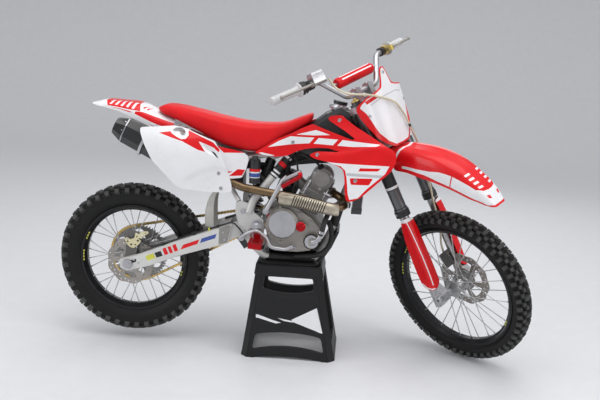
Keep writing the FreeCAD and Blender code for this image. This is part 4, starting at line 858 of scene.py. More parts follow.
def add_tyre(name, node_name, radius, width, bead_r, rim_w, pitches, body, matrix):
    """A carcass with rows of blocks, those in the middle whole and split by turns, the next rows shifted."""
    half = width / 2
    soup = Soup()
    soup.lathe(tyre_profile(radius, half, bead_r, rim_w / 2 - 3.3), (0, 0, 0), LEFT, sides=96)
    soup.faces = soup.faces[:-2]
    soup.indices = soup.indices[:-2]
    pitch = 2 * math.pi / pitches
    knob = 0.47 * (radius - 4) * pitch
    # Each row's share of the half width, its lean, its shift in pitches, and its blocks' length and width
    rows = [(0.0, 0, 0.0, knob, 28.5), (0.3, 12, 0.0, knob, 14), (0.6, 27, 0.5, knob, 14),
            (1.0, 56, 0.0, 0.96 * knob, 21)]
    for share, lean, shift, long, wide in rows:
        tilt = math.radians(lean)
        fall = SHOULDER_FALL if share == 1.0 else 1.6 + 1.1 * half * (1 - math.cos(tilt))
        for side in ((-1, 1) if share else (1,)):
            for k in range(pitches):
                turn = (k + shift) * pitch
                radial = Vector((math.cos(turn), 0, math.sin(turn)))
                tangent = Vector((-math.sin(turn), 0, math.cos(turn)))
                up = radial * math.cos(tilt) + LEFT * side * math.sin(tilt)
                middle = radial * (radius - fall) + LEFT * side * share * half - up * KNOB_HIGH / 2
                blocks = [(0, long, wide)]
                if share == 0.0 and k % 2:
                    blocks = [(y, long - 3, SPLIT_KNOB_WIDE) for y in (-SPLIT_KNOB_Y, SPLIT_KNOB_Y)]
                for y, block_long, block_wide in blocks:
                    size = (block_long, block_wide, KNOB_HIGH)
                    soup.block(middle + LEFT * y, tangent, tangent.cross(up), up, size, KNOB_TAPER, index=1)
    # The carcass takes the darker rubber and the knobs the lighter: painted shade between the knobs.
    soup.piece(name, [shaded_tyre_rubber, lit_knob_rubber], body, "tyre", (node_name,), matrix, smooth=35)


# Seat, pad and grips

# Stations along the seat: x, top, bottom and half width
SEAT_STATIONS = [(-541, 936, 926, 48), (-520, 945, 914, 66), (-484, 947, 902, 76), (-387, 932, 858, 82),
                 (-290, 912, 811, 82), (-193, 898, 789, 76), (-116, 896, 797, 68), (-59, 901, 846, 61),
                     (-14, 917, 875, 56), (50, 944, 914, 50)]

# Half the seat's section from the bottom to the top, as shares of the half width and the height
SEAT_RING = [(0.0, 0.0), (0.9, 0.0), (1.0, 0.1), (1.035, 0.3), (1.03, 0.5), (1.0, 0.66), (0.96, 0.79),
             (0.93, 0.845), (0.9, 0.86), (0.86, 0.895), (0.76, 0.95), (0.6, 0.98), (0.4, 0.994), (0.2, 1.0),
             (0.0, 1.003)]
SEAT_SEAMS = (-30, -470)
SEAM_HALF = 6
SEAM_DEPTH = 1.2


def add_seat():
    """A tight foam saddle under a vinyl cover, sewn along the shoulders and across the nose."""
    keys = [s[0] for s in SEAT_STATIONS]
    rings = []
    steps = 76
    for k in range(steps + 1):
        x = keys[0] + (keys[-1] - keys[0]) * k / steps
        top, low, half = (smooth_at(keys, [s[j] for s in SEAT_STATIONS], x) for j in (1, 2, 3))
        end = min(1.0, (k + 0.25) / 5.0, (steps + 0.4 - k) / 3.0)
        shrink = 1 - (1 - end) ** 2 * 0.35
        middle = (top + low) / 2
        seam = SEAM_DEPTH if any(abs(x - place) < SEAM_HALF for place in SEAT_SEAMS) else 0.0
        ring = []
        for out, rise in SEAT_RING:
            y = (out * half - (seam if rise > 0.4 else 0)) * shrink
            z = low + (top - low - seam) * rise
            ring.append(Vector((x, -y, middle + (z - middle) * shrink)))
        rings.append(ring + [Vector((p.x, -p.y, p.z)) for p in reversed(ring[1:-1])])
    soup = Soup()
    soup.rings(rings)
    piece = soup.piece("seat_cover", [red_vinyl], "chassis", "seat_cover", ("seat",), smooth=60)
    refine = piece.modifiers.new("round", "SUBSURF")
    refine.levels = 1
    refine.render_levels = 1


PAD_HALF = 101
PAD_RADIUS = 21.3
PAD_SIDES = 24
PAD_STEPS = 32
PAD_PRINT_HALF = 84
PAD_PRINT_FACES = (1, 4)


def add_bar_pad():
    """A foam roll on the bar's brace, drawn in at both ends, with two white lines along it."""
    soup = Soup()
    rings = []
    for k in range(PAD_STEPS + 1):
        y = PAD_HALF * (2 * k / PAD_STEPS - 1)
        end = min(1.0, (k + 0.15) / 2.5, (PAD_STEPS + 0.15 - k) / 2.5)
        swell = PAD_RADIUS * (0.72 + 0.28 * math.sqrt(max(0.0, 1 - (1 - end) ** 2)))
        ring = []
        for a in turns(PAD_SIDES):
            flat = 0.94 if math.cos(a) < -0.6 else 1.0
            ring.append(steer_point(-12 + swell * flat * math.cos(a), 893 + swell * math.sin(a) * 0.98, y))
        rings.append(ring)
    soup.rings(rings)
    for number, face in enumerate(soup.faces):
        if number % PAD_SIDES in PAD_PRINT_FACES and abs(soup.vertices[face[0]].y) < PAD_PRINT_HALF:
            soup.indices[number] = 1
    piece = soup.piece("crossbar_pad", [pad_cover, white_plastic], "front_end", "pad_foam", ("bar_pad",),
                       STEERED, 50)


def grip_axis(side):
    """A grip's outer end, and the direction from there along the bar."""
    inner = steer_point(-22, 930, side * 168)
    outer = steer_point(-62.4, 933.7, side * 369)
    return outer, (inner - outer).normalized()


GRIP_RIBS = 14
GRIP_RIB_PITCH = 7.0


def add_grips():
    """Ribbed rubber sleeves with a flange at the inner end."""
    soup = Soup()
    for side in (-1, 1):
        outer, inward = grip_axis(side)
        profile = [(-6, 0.5), (-6, 13), (-5, 15.2), (0, 15.5)]
        for k in range(GRIP_RIBS):
            at = 6 + k * GRIP_RIB_PITCH
            profile += [(at, 15.5), (at + 0.9, 14.4), (at + 2.6, 14.4), (at + 3.5, 15.5)]
        profile += [(106, 15.6), (110, 19), (112, 26), (117, 26), (117, 13)]
        soup.lathe(profile, outer, inward, sides=32)
    soup.piece("grip_sleeves", [grip_rubber], "front_end", "grip_rubber", ("grips",), STEERED, 35)


# Drive, wheels and brakes

CHAIN_Y = 62.0
DRIVE_SHAFT = Vector((-85.0, CHAIN_Y, 535.0))
CHAIN_PITCH = 12.7
REAR_TEETH = 56
FRONT_TEETH = 13
REAR_PITCH_R = CHAIN_PITCH / (2 * math.sin(math.pi / REAR_TEETH))
FRONT_PITCH_R = CHAIN_PITCH / (2 * math.sin(math.pi / FRONT_TEETH))


def chain_loop():
    """Evenly spaced places round the chain's loop."""
    driven = REAR_AXLE + LEFT * CHAIN_Y
    line = DRIVE_SHAFT - driven
    tilt = math.atan2(line.z, line.x)
    spread = math.acos((REAR_PITCH_R - FRONT_PITCH_R) / line.length)
    outline = []
    for centre, radius, start, end, steps in (
            (DRIVE_SHAFT, FRONT_PITCH_R, tilt + spread, tilt - spread, 24),
            (driven, REAR_PITCH_R, tilt - spread, tilt + spread - 2 * math.pi, 90)):
        for k in range(steps + 1):
            angle = start + (end - start) * k / steps
            outline.append(centre + Vector((math.cos(angle), 0, math.sin(angle))) * radius)
    ends = outline[1:] + outline[:1]
    lengths = np.cumsum([0.0] + [(b - a).length for a, b in zip(outline, ends)])
    count = 2 * round(lengths[-1] / CHAIN_PITCH / 2)
    places = []
    for k in range(count):
        at = lengths[-1] * k / count
        i = int(np.searchsorted(lengths, at, side="right")) - 1
        start, end = outline[i], ends[i]
        places.append(start.lerp(end, (at - lengths[i]) / (end - start).length))
    return places


def add_chain():
    """Inner and outer link plates by turns, on their rollers."""
    places = chain_loop()
    soup = Soup()
    reach = CHAIN_PITCH / 2
    plate = [(-reach - 4.4, -2.6), (-reach - 2.4, -5.2), (-reach + 2.4, -5.2), (-1.5, -3.6), (1.5, -3.6),
             (reach - 2.4, -5.2), (reach + 2.4, -5.2), (reach + 4.4, -2.6)]
    plate += [(a, -b) for a, b in reversed(plate)]
    for k, start in enumerate(places):
        end = places[(k + 1) % len(places)]
        ahead = (end - start).normalized()
        up = ahead.cross(LEFT)
        for half, radius, sides in ((6.2, 2.4, 6), (3.0, 4.1, 8)):
            soup.rod(start - LEFT * half, start + LEFT * half, radius, sides, index=1)
        middle = start.lerp(end, 0.5)
        for side in (-1, 1):
            inner = (3.5 if k % 2 else 5.0) * side
            soup.rings([[middle + ahead * a + up * b + LEFT * (inner + side * w) for a, b in plate]
                        for w in (0.0, 1.4)])
    soup.piece("chain_links", [chain_gold, steel], "chassis", "chain_brass", ("chain",), smooth=30)


def add_wheel_trim():
    """Spoke nipples, small printed marks on the rims, and hub bolts of both wheels."""
    marks = (2.66, 2.72, 2.78, 3.05, 3.11, 3.17, 3.23, 6.0, 6.06)
    spokes = 32
    for name, bead_r, rim_face, centre, disc_y, body, matrix in (
            ("front_wheel_trim", FRONT_BEAD_R, 25.0, FRONT_AXLE, 60.2, "front_wheel", STEERED),
            ("rear_wheel_trim", REAR_BEAD_R, 29.5, REAR_AXLE, -64.2, "rear_wheel", SMALL)):
        soup = Soup()
        for k in range(spokes):
            turn = 2 * math.pi * (k + 0.5) / spokes
            out = Vector((math.cos(turn), 0, math.sin(turn)))
            start = centre + out * (bead_r - 20) + LEFT * (4.5 if k % 2 else -4.5)
            soup.rod(start, start + out * 11, 2.6, 8, end_radius=3.3)
        for turn in marks:
            out = Vector((math.cos(turn), 0, math.sin(turn)))
            along = Vector((-math.sin(turn), 0, math.cos(turn)))
            for side in (-1, 1):
                soup.block(centre + out * (bead_r - 3) + LEFT * side * rim_face, along, out, LEFT * side,
                           (8, 4, 2), index=1)
        side = math.copysign(1, disc_y)
        for spot in circle(centre + LEFT * (disc_y - side * 0.6), 38, 6, 30):
            bolt(soup, spot, LEFT * side, 4.6)
            if body == "rear_wheel":
                bolt(soup, (spot.x, 64.6, spot.z), LEFT, 5.5)
        soup.piece(name, [steel, yellow_print], body, "steel", matrix=matrix, smooth=30)


# The arm, the engine and what hangs on them

ARM_FACE = 106.3
ARM_ALONG = Vector((0.93, 0, 0.37))
ARM_UP = Vector((-0.37, 0, 0.93))
REAR_LINE = [(-628, -74, 436), (-600, -88, 434), (-560, -97, 404), (-520, -98, 406), (-436, -98, 444),
             (-340, -98, 480), (-262, -98, 510), (-232, -104, 522), (-206, -112, 500), (-190, -114, 480)]
ARM_PAINTS = [arm_alloy, red_plastic, black_plastic, blue_print, yellow_print, cast_alloy]

# Each print's outline, and its place in ARM_PAINTS
ARM_PRINTS = [
    ([(-560, 347), (-528, 360), (-536, 380), (-567, 367)], 4),
    ([(-524, 362), (-500, 371), (-508, 391), (-532, 381)], 2),
    ([(-492, 374), (-478, 380), (-488, 406), (-501, 400)], 1),
    ([(-472, 382), (-460, 387), (-470, 413), (-482, 408)], 1),
    ([(-454, 390), (-440, 396), (-450, 422), (-463, 416)], 1),
    ([(-432, 400), (-366, 427), (-358, 446), (-420, 421)], 1),
    ([(-356, 431), (-298, 454), (-292, 472), (-350, 450)], 3),
    ([(-284, 430), (-250, 440), (-236, 512), (-284, 494)], 5),
]


def add_arm_trim():
    """The arms' sunk and printed outer faces, the axle nuts, the adjusters and the rear brake's line."""
    metal, rubber, yellow = range(3)
    outline = [(-664, 345), (-592, 370), (-436, 437), (-290, 492), (-238, 511), (-252, 437), (-290, 426),
               (-436, 378), (-552, 330), (-640, 304), (-664, 315)]
    pocket = [(-584, 352), (-436, 417), (-312, 463), (-306, 432), (-436, 390), (-560, 342), (-584, 340)]
    slot = [(-656, 334), (-604, 354), (-602, 342), (-650, 322)]
    regions = [Region(pocket, 0, depth=2.2, ramp=5, radius=5)]
    regions += [Region(points, index) for points, index in ARM_PRINTS]
    regions.append(Region(slot, 2, depth=2.5, ramp=3, radius=4))
    painted_pair("arm_face", outline, regions, lambda x, z: (x, -ARM_FACE - 2.2, z), RIGHT, ARM_PAINTS,
                 "chassis", "arm_alloy", corner=9, spacing=7, thickness=2.4, bevel=0.6)
    soup = Soup()
    for side in (-1, 1):
        face = side * (ARM_FACE + 2.4)
        soup.lathe([(-3, 4), (-3, 18), (5, 19), (8, 17.5), (8, 5), (3, 4.5), (3, 0.5)],
                   (REAR_AXLE.x, face, REAR_AXLE.z), (0, side, 0), 32)
        for x, z in ((-612, 350), (-594, 338), (-268, 478), (-262, 450)):
            bolt(soup, (x, face - side * 1.5, z), (0, side, 0), 4.5)
        adjuster_y = face - side * 14
        soup.rod((-668, adjuster_y, 330), (-686, adjuster_y, 322), 4, 6, metal)
        bolt(soup, (-140, side * 120.3, 514), (0, side, 0), 12, height=5)
        bolt(soup, (-194, side * 103, 566), (0, side, 0), 8, height=5)
    spots = [Vector(p) for p in REAR_LINE]
    fine = [spots[0]]
    for a, b, c in zip(spots, spots[1:], spots[2:]):
        fine += [b.lerp(a, 0.3), (a + 6 * b + c) / 8, b.lerp(c, 0.3)]
    soup.tube(fine + [spots[-1]], 3.2, 10, rubber)
    for x, z in ((-500, 415), (-380, 464), (-290, 500)):
        soup.block(Vector((x, -98, z)), ARM_ALONG, LEFT, ARM_UP, (10, 12, 9), index=rubber)
    soup.block(Vector((-322, -98, 486)), ARM_ALONG, LEFT, ARM_UP, (5, 20, 12), index=yellow)
    soup.piece("arm_fittings", [steel, black_rubber, yellow_print], "chassis", "steel", smooth=30)


COVER_BOLTS = [(-98, 516), (-84, 480), (-46, 458), (8, 438), (58, 444), (92, 468), (94, 506), (64, 542),
               (20, 572)]
CLUTCH_CENTRE = Vector((-41, 0, 532))
PUMP_CENTRE = Vector((71, 0, 470))
PUMP_ELBOW = [(71, -142, 470), (82, -143, 472), (92, -142, 478), (100, -142, 488), (104, -142, 502)]

# Each hose's route, radius and number of sides
ENGINE_HOSES = [
    ([(104, -142, 498), (110, -140, 520), (116, -128, 546), (126, -108, 572), (142, -92, 600),
      (172, -90, 612), (208, -96, 610)], 10, 14),
    ([(128, -64, 540), (142, -76, 506), (144, -84, 466), (126, -90, 430), (90, -90, 408), (44, -88, 400),
      (6, -86, 397)], 10, 14),
    ([(90, -74, 746), (70, -80, 764), (40, -78, 780), (8, -62, 792)], 4.5, 10),
    ([(-20, -70, 612), (-8, -92, 660), (4, -88, 712), (-4, -64, 764), (-24, -46, 790)], 3.2, 8),
    ([(-60, -50, 606), (-72, -66, 640), (-60, -60, 684), (-44, -34, 704)], 6, 12),
    ([(-58, -20, 720), (-66, -48, 736), (-50, -62, 752), (-20, -60, 778)], 3, 8),
]

KICK_TIP = [(16, -162, 734), (20, -168, 722), (-14, -166, 700), (-46, -164.5, 678)]


def add_engine_trim():
    """Bolts, plugs, coolant hoses and leads on the engine's right side, and the bolts of its left cover."""
    soup = Soup()
    metal, red, rubber, dark, cast = range(5)
    for x, z in COVER_BOLTS:
        soup.rod((x, -114, z), (x, -120, z), 7, 16, cast)
        soup.rod((x, -120, z), (x, -124, z), 4.5, 12, metal, chamfer=0.6)
        # A black hexagon in each bolt head: painted shade in its socket.
        soup.rod((x, -123.2, z), (x, -124.3, z), 2.4, 6, dark)
    for spot in circle(CLUTCH_CENTRE + RIGHT * 114, 64, 3, 100):
        soup.rod(spot, spot + RIGHT * 14, 6, 12, cast, chamfer=1)
    soup.band(0, 1.2, 46, 50.5, CLUTCH_CENTRE + RIGHT * 139.6, RIGHT, 64, metal)
    soup.tube(PUMP_ELBOW, 8.5, 14, metal)
    soup.lathe([(0, 30), (0, 26.5), (3, 25), (3, 0.5)], PUMP_CENTRE + RIGHT * 133.5, RIGHT, 40, metal)
    for spot in circle(PUMP_CENTRE + RIGHT * 135, 21, 6, 12):
        soup.rod(spot, spot + RIGHT * 4, 3, 6, metal)
    soup.lathe([(0, 4), (0, 17.5), (3, 18.5), (9, 18.5), (11, 16), (11, 4)], (28, -129, 526), RIGHT, 24, red)
    soup.block(Vector((28, -142, 526)), Vector((0.8, 0, 0.6)), Vector((-0.6, 0, 0.8)), RIGHT, (26, 7, 8),
               index=red)
    soup.lathe([(0, 3), (0, 9.5), (4, 9.5), (6, 7.5), (6, 3)], (-92, -115, 556), RIGHT, 20, red)
    for route, radius, sides in ENGINE_HOSES:
        soup.tube(soft_line(route), radius, sides, rubber)
    for place, axis in (((107, -141.5, 510), (0.25, 0.05, 1)), ((200, -95, 610.5), (1, -0.1, 0))):
        soup.band(-5, 5, 9, 12, place, axis, 18, metal)
    soup.rod((86, -66, 742), (94, -80, 752), 9, 14, rubber)
    soup.block(Vector((-44, -24, 672)), AHEAD, UP, RIGHT, (34, 30, 10), index=metal)
    for x in (-56, -32):
        for z in (662, 684):
            soup.rod((x, -27, z), (x, -31, z), 2.4, 6, dark)
    for spot in circle((44, 108, 496), 53, 6, 30):
        bolt(soup, spot, LEFT, 4)
    soup.tube(soft_line(KICK_TIP), 7.7, 12, red)
    soup.rod((-104, -150, 580), (-104, -156, 580), 7, 6, metal)
    soup.piece("engine_trim", [steel, red_metal, black_rubber, black_plastic, cover_alloy], "chassis",
               "cover_alloy", smooth=35)


# Stand

STAND_HIGH = 368.0
STAND_CORNER = 22.0
STAND_WALL = 14.0
PAD_TOP = 369.6
PAD_RIBS = 10
PAD_PITCH = 22
BAND_LOW = 322
STAND_PRINTS = [
    [(10, 157), (104, 209), (131, 112), (118, 114), (10, 150)],
    [(-128, 171), (-128, 158), (-50, 138), (-30, 143), (-60, 150)],
    [(-45, 160), (6, 153), (16, 146), (-20, 150)],
]


def stand_half(z):
    """Rear, front and half width of the stand's outside at a height."""
    share = z / STAND_HIGH
    return -179 + 47 * share, 179 - 71 * share, 145 - 25 * share


def stand_ring(z, lift=0.0):
    """The stand's outside at a height, with its corners cut, moved outwards by a lift."""
    rear, front, half = stand_half(z)
    rear, front, half = rear - lift, front + lift, half + lift
    cut = STAND_CORNER
    return [Vector((x, y, z)) for x, y in (
        (rear + cut, -half), (front - cut, -half), (front, -half + cut), (front, half - cut),
        (front - cut, half), (rear + cut, half), (rear, half - cut), (rear, -half + cut))]


def bowed_edge(left, right, z, bow):
    """Points along a window's edge from left to right, bowed up or down in the middle."""
    return [(left + (right - left) * k / 8, z + bow * (1 - (k / 4 - 1) ** 2)) for k in range(9)]


def add_stand():
    """A moulded box of four walls with windows and a sunk printed panel, on its frame."""
    lower = bowed_edge(-140, 140, 30, 20) + bowed_edge(124, -128, 94, 12)
    arch = [(-130, -6), (130, -6)] + bowed_edge(122, -122, 2, 8)
    sunk = [(-134, 112), (131, 112), (100, 254), (-118, 254)]
    regions = [Region(sunk, 0, depth=5, ramp=4, radius=8)]
    regions += [Region(points, 1) for points in STAND_PRINTS]
    wall = [(-157, 1.2), (157, 1.2), (86, STAND_HIGH), (-110, STAND_HIGH)]
    for side, sill, wide in (("right", 274, 0), ("left", 232, 6)):
        upper = bowed_edge(-106 - wide, 88 + wide, sill, -14) + [(84, 322), (-102, 322)]
        windows = [Region(upper, None, radius=8), Region(lower, None, radius=14), Region(arch, None)]
        painted("stand_wall_" + side, wall, regions + windows, lambda x, z: (x, -stand_half(z)[2], z), RIGHT,
                [stand_plastic, white_plastic], "chassis", "stand_plastic", replaces=("stand",),
                flip=side == "left", thickness=STAND_WALL, corner=0, spacing=11, bevel=0)
    end_window = Region([(-96, 60), (96, 60), (78, 300), (-78, 300)], None, radius=26)
    end_wall = [(-123, 2.9), (123, 2.9), (98, STAND_HIGH), (-98, STAND_HIGH)]
    for name, end_place, out in (("rear", lambda y, z: (stand_half(z)[0], y, z), -AHEAD),
                                 ("front", lambda y, z: (stand_half(z)[1], y, z), AHEAD)):
        painted("stand_wall_" + name, end_wall, [end_window], end_place, out, [stand_plastic], "chassis",
                "stand_plastic", replaces=("stand",), thickness=STAND_WALL, corner=0, spacing=14, bevel=0)
    add_stand_frame()


def add_stand_frame():
    """The stand's corner posts, the band round its top, the lips of its feet and the ribs of its pad."""
    soup = Soup()
    for first, last in ((1, 2), (3, 4), (5, 6), (7, 0)):
        rings = []
        for z in (0.0, STAND_HIGH):
            outer, inner = stand_ring(z, 2.5), stand_ring(z, -STAND_WALL)
            rings.append([outer[first], outer[last], inner[last], inner[first]])
        soup.rings(rings)
    soup.rings([stand_ring(BAND_LOW, 1), stand_ring(BAND_LOW + 2, 6), stand_ring(STAND_HIGH - 4, 6),
                stand_ring(STAND_HIGH, 2)])
    for far in (-130, 130):
        path = []
        for z in (0.0, 14.0):
            rear, front, half = stand_half(z)
            end = front if far > 0 else rear
            back = end - math.copysign(STAND_CORNER, far)
            path.append([(far, -half), (back, -half), (end, -half + STAND_CORNER), (end, half - STAND_CORNER),
                         (back, half), (far, half)])
        sections = []
        for k in range(6):
            (x0, y0), (x1, y1) = path[0][k], path[1][k]
            ahead, across = ((0, 1), (0.7, 0.7), (1, 0), (1, 0), (0.7, 0.7), (0, 1))[k]
            out = Vector((math.copysign(ahead, far), math.copysign(across, y0), 0))
            sections.append([Vector((x0, y0, 0)) - out * 3, Vector((x0, y0, 0)) + out * 4,
                             Vector((x1, y1, 11)) + out * 4, Vector((x1, y1, 14)) - out * 3])
        soup.rings(sections)
    for k in range(PAD_RIBS):
        y = (k - (PAD_RIBS - 1) / 2) * PAD_PITCH
        soup.block(Vector((-12, y, PAD_TOP)), AHEAD, LEFT, UP, (212, 15, 4.4), index=1)
    soup.piece("stand_frame", [stand_plastic, black_rubber], "chassis", "stand_plastic", replaces=("stand",),
               smooth=30)


# Muffler and shock

MUFFLER_TAIL = Vector((-686, -98, 866))
MUFFLER_AXIS = Vector((356, 0, -160)).normalized()
MUFFLER_UP = Vector((-MUFFLER_AXIS.z, 0, MUFFLER_AXIS.x))
MUFFLER_KEYS = [0, 42, 290, 330, 389]
MUFFLER_CORNERS = [(-0.5, -1), (0.5, -1), (1, -0.45), (1, 0.45), (0.5, 1), (-0.5, 1), (-1, 0.45), (-1, -0.45)]


def muffler_ring(distance, lift):
    """The can cut across at a distance from its tail, moved outwards by a lift."""
    half_h = smooth_at(MUFFLER_KEYS, [30, 47, 58, 50, 19], distance) + lift
    half_w = smooth_at(MUFFLER_KEYS, [27, 31, 34, 30, 19], distance) + lift
    middle = MUFFLER_TAIL + MUFFLER_AXIS * distance
    return [middle + Vector((0, half_w * y, 0)) + MUFFLER_UP * (half_h * z) for y, z in MUFFLER_CORNERS]


def add_muffler_trim():
    """The strap round the can, the rolled lip of its end cap and the rivets beside it, and a black disc
    across the outlet, painted shade inside the pipe.
    """
    soup = Soup()
    for start, end, lift in ((118, 128, 1.8), (40, 44, 1.2), (286, 292, 1.2)):
        soup.rings([muffler_ring(start, 0), muffler_ring(start, lift), muffler_ring(end, lift),
                    muffler_ring(end, 0)], ends=False)
    soup.band(-1.5, 3, 13, 17.5, MUFFLER_TAIL, MUFFLER_AXIS)
    for distance in (34, 300):
        ring = muffler_ring(distance, 0.3)
        for first, last in zip(ring, ring[1:]):
            place = first.lerp(last, 0.5)
            out = (place - MUFFLER_TAIL - MUFFLER_AXIS * distance).normalized()
            soup.rod(place - out, place + out * 1.6, 2.6, 10)
    # A black disc closes the outlet: painted shade inside the pipe.
    soup.lathe([(-1.8, 13.4), (-1.8, 0.5)], MUFFLER_TAIL, MUFFLER_AXIS, 32, index=1)
    soup.piece("muffler_trim", [steel, black_plastic], "chassis", "muffler_alloy", smooth=30)


def add_shock_trim():
    """Printed bands and the filler cap of the shock's reservoir."""
    foot = Vector((-158, -82, 0))
    soup = Soup()
    red, white, blue, dark = 0, 1, 2, 3
    for low, high, index in ((718, 728, red), (712, 717, white), (698, 711, blue), (694, 697, white)):
        soup.band(low, high, 20, 20.5, foot, UP, 40, index)
    soup.lathe([(756, 16), (756, 21), (762, 21), (764, 14), (770, 12), (775, 8), (776, 0.5)], foot, UP, 32,
               dark)
    soup.piece("reservoir_bands", [red_plastic, white_plastic, blue_print, black_plastic], "chassis",
               "spring_paint", smooth=30)


# Fork and bar

def add_fork_trim():
    """Seal collars, printed bands, clamp bolts and the adjusters on top of the fork."""
    soup = Soup()
    dark, white, metal, gold = range(4)
    lead = 30
    for side in (-1, 1):
        out = LEFT * side
        y = side * 87
        foot = steer_point(lead, 0, y)
        soup.lathe([(343, 18.8), (343, 28), (352, 28.6), (366, 28.6), (370, 26), (376, 25.6), (378, 24)],
                   foot, STEER_UP, 40, dark)
        for low, high, index in ((452, 548, dark), (456, 466, white), (534, 544, white)):
            soup.band(low, high, 24, 24.5 + 0.2 * index, foot, STEER_UP, 40, index)
        top = steer_point(lead, 808, y)
        soup.lathe([(0, 16.5), (5, 15), (5, 8), (10, 7), (12, 5), (12, 0.5)], top, STEER_UP, 24, gold)
        for up in (608, 624, 780):
            bolt(soup, steer_point(lead - 14, up, side * 120), out, 4.5, metal)
        bolt(soup, steer_point(lead - 6, 358, side * 115), out, 3.6, metal)
        for ahead in (-10, 12):
            bolt(soup, steer_point(ahead, 850, side * 36), STEER_UP, 4.5, metal)
        for up in (-24, 0, 24):
            bolt(soup, steer_point(lead + 6, up - 6, side * 104.5), out, 4, metal)
    bolt(soup, steer_point(0, 802, 0), STEER_UP, 14, metal, 6)
    soup.lathe([(0, 4), (0, 12), (18, 12), (20, 10.5), (20, 6), (12, 5.5), (12, 0.5)],
               FRONT_AXLE + RIGHT * 103, RIGHT, 28, metal)
    soup.piece("fork_fittings", [black_plastic, white_plastic, steel, gold_metal], "front_end", "fork_dark",
               matrix=STEERED, smooth=30)


def add_bar_trim():
    """Throttle housing, perch sleeves and reservoir cap on the bar's controls."""
    soup = Soup()
    dark, gold, metal, bright = range(4)
    outer, inward = grip_axis(-1)
    soup.lathe([(117, 15), (117, 22.6), (122, 24), (140, 24), (145, 22.6), (145, 13)], outer, inward, 32,
               dark)
    across, beside = frame_round(inward)
    for turn in (0.6, 2.4, 4.2):
        out = across * math.cos(turn) + beside * math.sin(turn)
        bolt(soup, outer + inward * 131 + out * 23.6, out, 3, metal)
    cup = outer + inward * 180 + STEER_AHEAD * 28
    beside = STEER_UP.cross(inward).normalized()
    soup.block(cup + STEER_UP * 18, inward, beside, STEER_UP, (52, 38, 38), top=0.98, index=bright)
    soup.block(cup + STEER_UP * 36, inward, beside, STEER_UP, (48, 34, 6), top=0.9, index=bright)
    for side in (-1, 1):
        bolt(soup, cup + STEER_UP * 38 + inward * 17 * side, STEER_UP, 2.4, metal)
    soup.band(152, 176, 17, 18.6, outer, inward, 32, dark)
    outer, inward = grip_axis(1)
    soup.band(125, 153, 12, 18.8, outer, inward, 32, gold)
    perch = outer + inward * 136 + STEER_AHEAD * 34
    soup.band(-10, 10, 3, 12.8, perch, STEER_UP, 28, gold)
    bolt(soup, perch + STEER_UP * 10, STEER_UP, 4.5, metal)
    soup.band(160, 176, 12, 17, outer, inward, 28, dark)
    soup.piece("control_trim", [black_plastic, gold_metal, steel, bright_steel], "front_end", "black_plastic",
               matrix=STEERED, smooth=30)


# Header shield, frame and cylinder

SHIELD_RADIUS = 26.0


def shield_centre(x):
    """The middle line of the sleeve over the exhaust header."""
    keys = [-100, 20, 140, 170]
    return smooth_at(keys, [-123, -127, -127, -120], x), smooth_at(keys, [636, 621, 600, 597], x)


def shield_place(x, across):
    """A place on the sleeve, at a distance round it from its outermost line."""
    middle_y, middle_z = shield_centre(x)
    angle = across / SHIELD_RADIUS
    return (x, middle_y - SHIELD_RADIUS * math.cos(angle), middle_z + SHIELD_RADIUS * math.sin(angle))


def add_heat_shield():
    """A slotted sleeve over the header's outer side, on two bolts; the slots are shallow grooves painted
    dark, as painted shade.
    """
    # The slots are shallow grooves painted dark, painted shade where the header would show through.
    shaded_slots = [slash(x, 4.5, 14.5, -24, 24, 1, depth=1, ramp=1) for x in range(-14, 112, 9)]
    outline = [(-58, -20), (-50, -30), (160, -30), (168, -20), (168, 22), (158, 30), (-46, 30), (-58, 20)]
    painted("header_shield", outline, shaded_slots, shield_place, RIGHT, [shield_steel, slot_painted_shade], "chassis",
            "header_steel", thickness=1.6, corner=8, spacing=6, bevel=0)
    soup = Soup()
    for x in (-30, 136):
        y, z = shield_centre(x)
        seat = (x, y - SHIELD_RADIUS - 2.5, z)
        soup.rod((x, y - 12, z), seat, 10, 20)
        bolt(soup, seat, RIGHT, 6)
    soup.piece("shield_bolts", [shield_steel], "chassis", "steel", smooth=30)


# Each sleeve's start and end along the tube, its lift and its material
TUBE_BANDS = [(0.46, 0.96, 0.6, 0), (0.48, 0.51, 0.9, 1), (0.54, 0.57, 0.9, 1), (0.66, 0.72, 0.9, 2),
              (0.80, 0.84, 0.9, 1)]
# A dark block under the tank: the black parts there, with the shade between them painted in.
BLACK_PARTS_AND_SHADE_UNDER_TANK = [(-66, 724), (-36, 788), (60, 806), (186, 856), (222, 812), (206, 776), (130, 758), (60, 752),
              (0, 744)]
COIL_BOX = [(-58, 598), (-66, 690), (-30, 716), (10, 700), (4, 640), (-14, 602)]

# Each hose's route and radius
FRAME_HOSES = [
    ([(-48, -24, 744), (-10, -50, 752), (40, -54, 770), (96, -50, 790), (160, -46, 812)], 6),
    ([(-86, -34, 640), (-70, -40, 610), (-40, -44, 596), (0, -46, 598)], 7),
    ([(-30, 20, 650), (-4, -30, 640), (2, -52, 660), (6, -60, 700), (0, -54, 744)], 4),
    ([(-140, -60, 700), (-110, -66, 660), (-104, -62, 620), (-92, -60, 598)], 5),
]


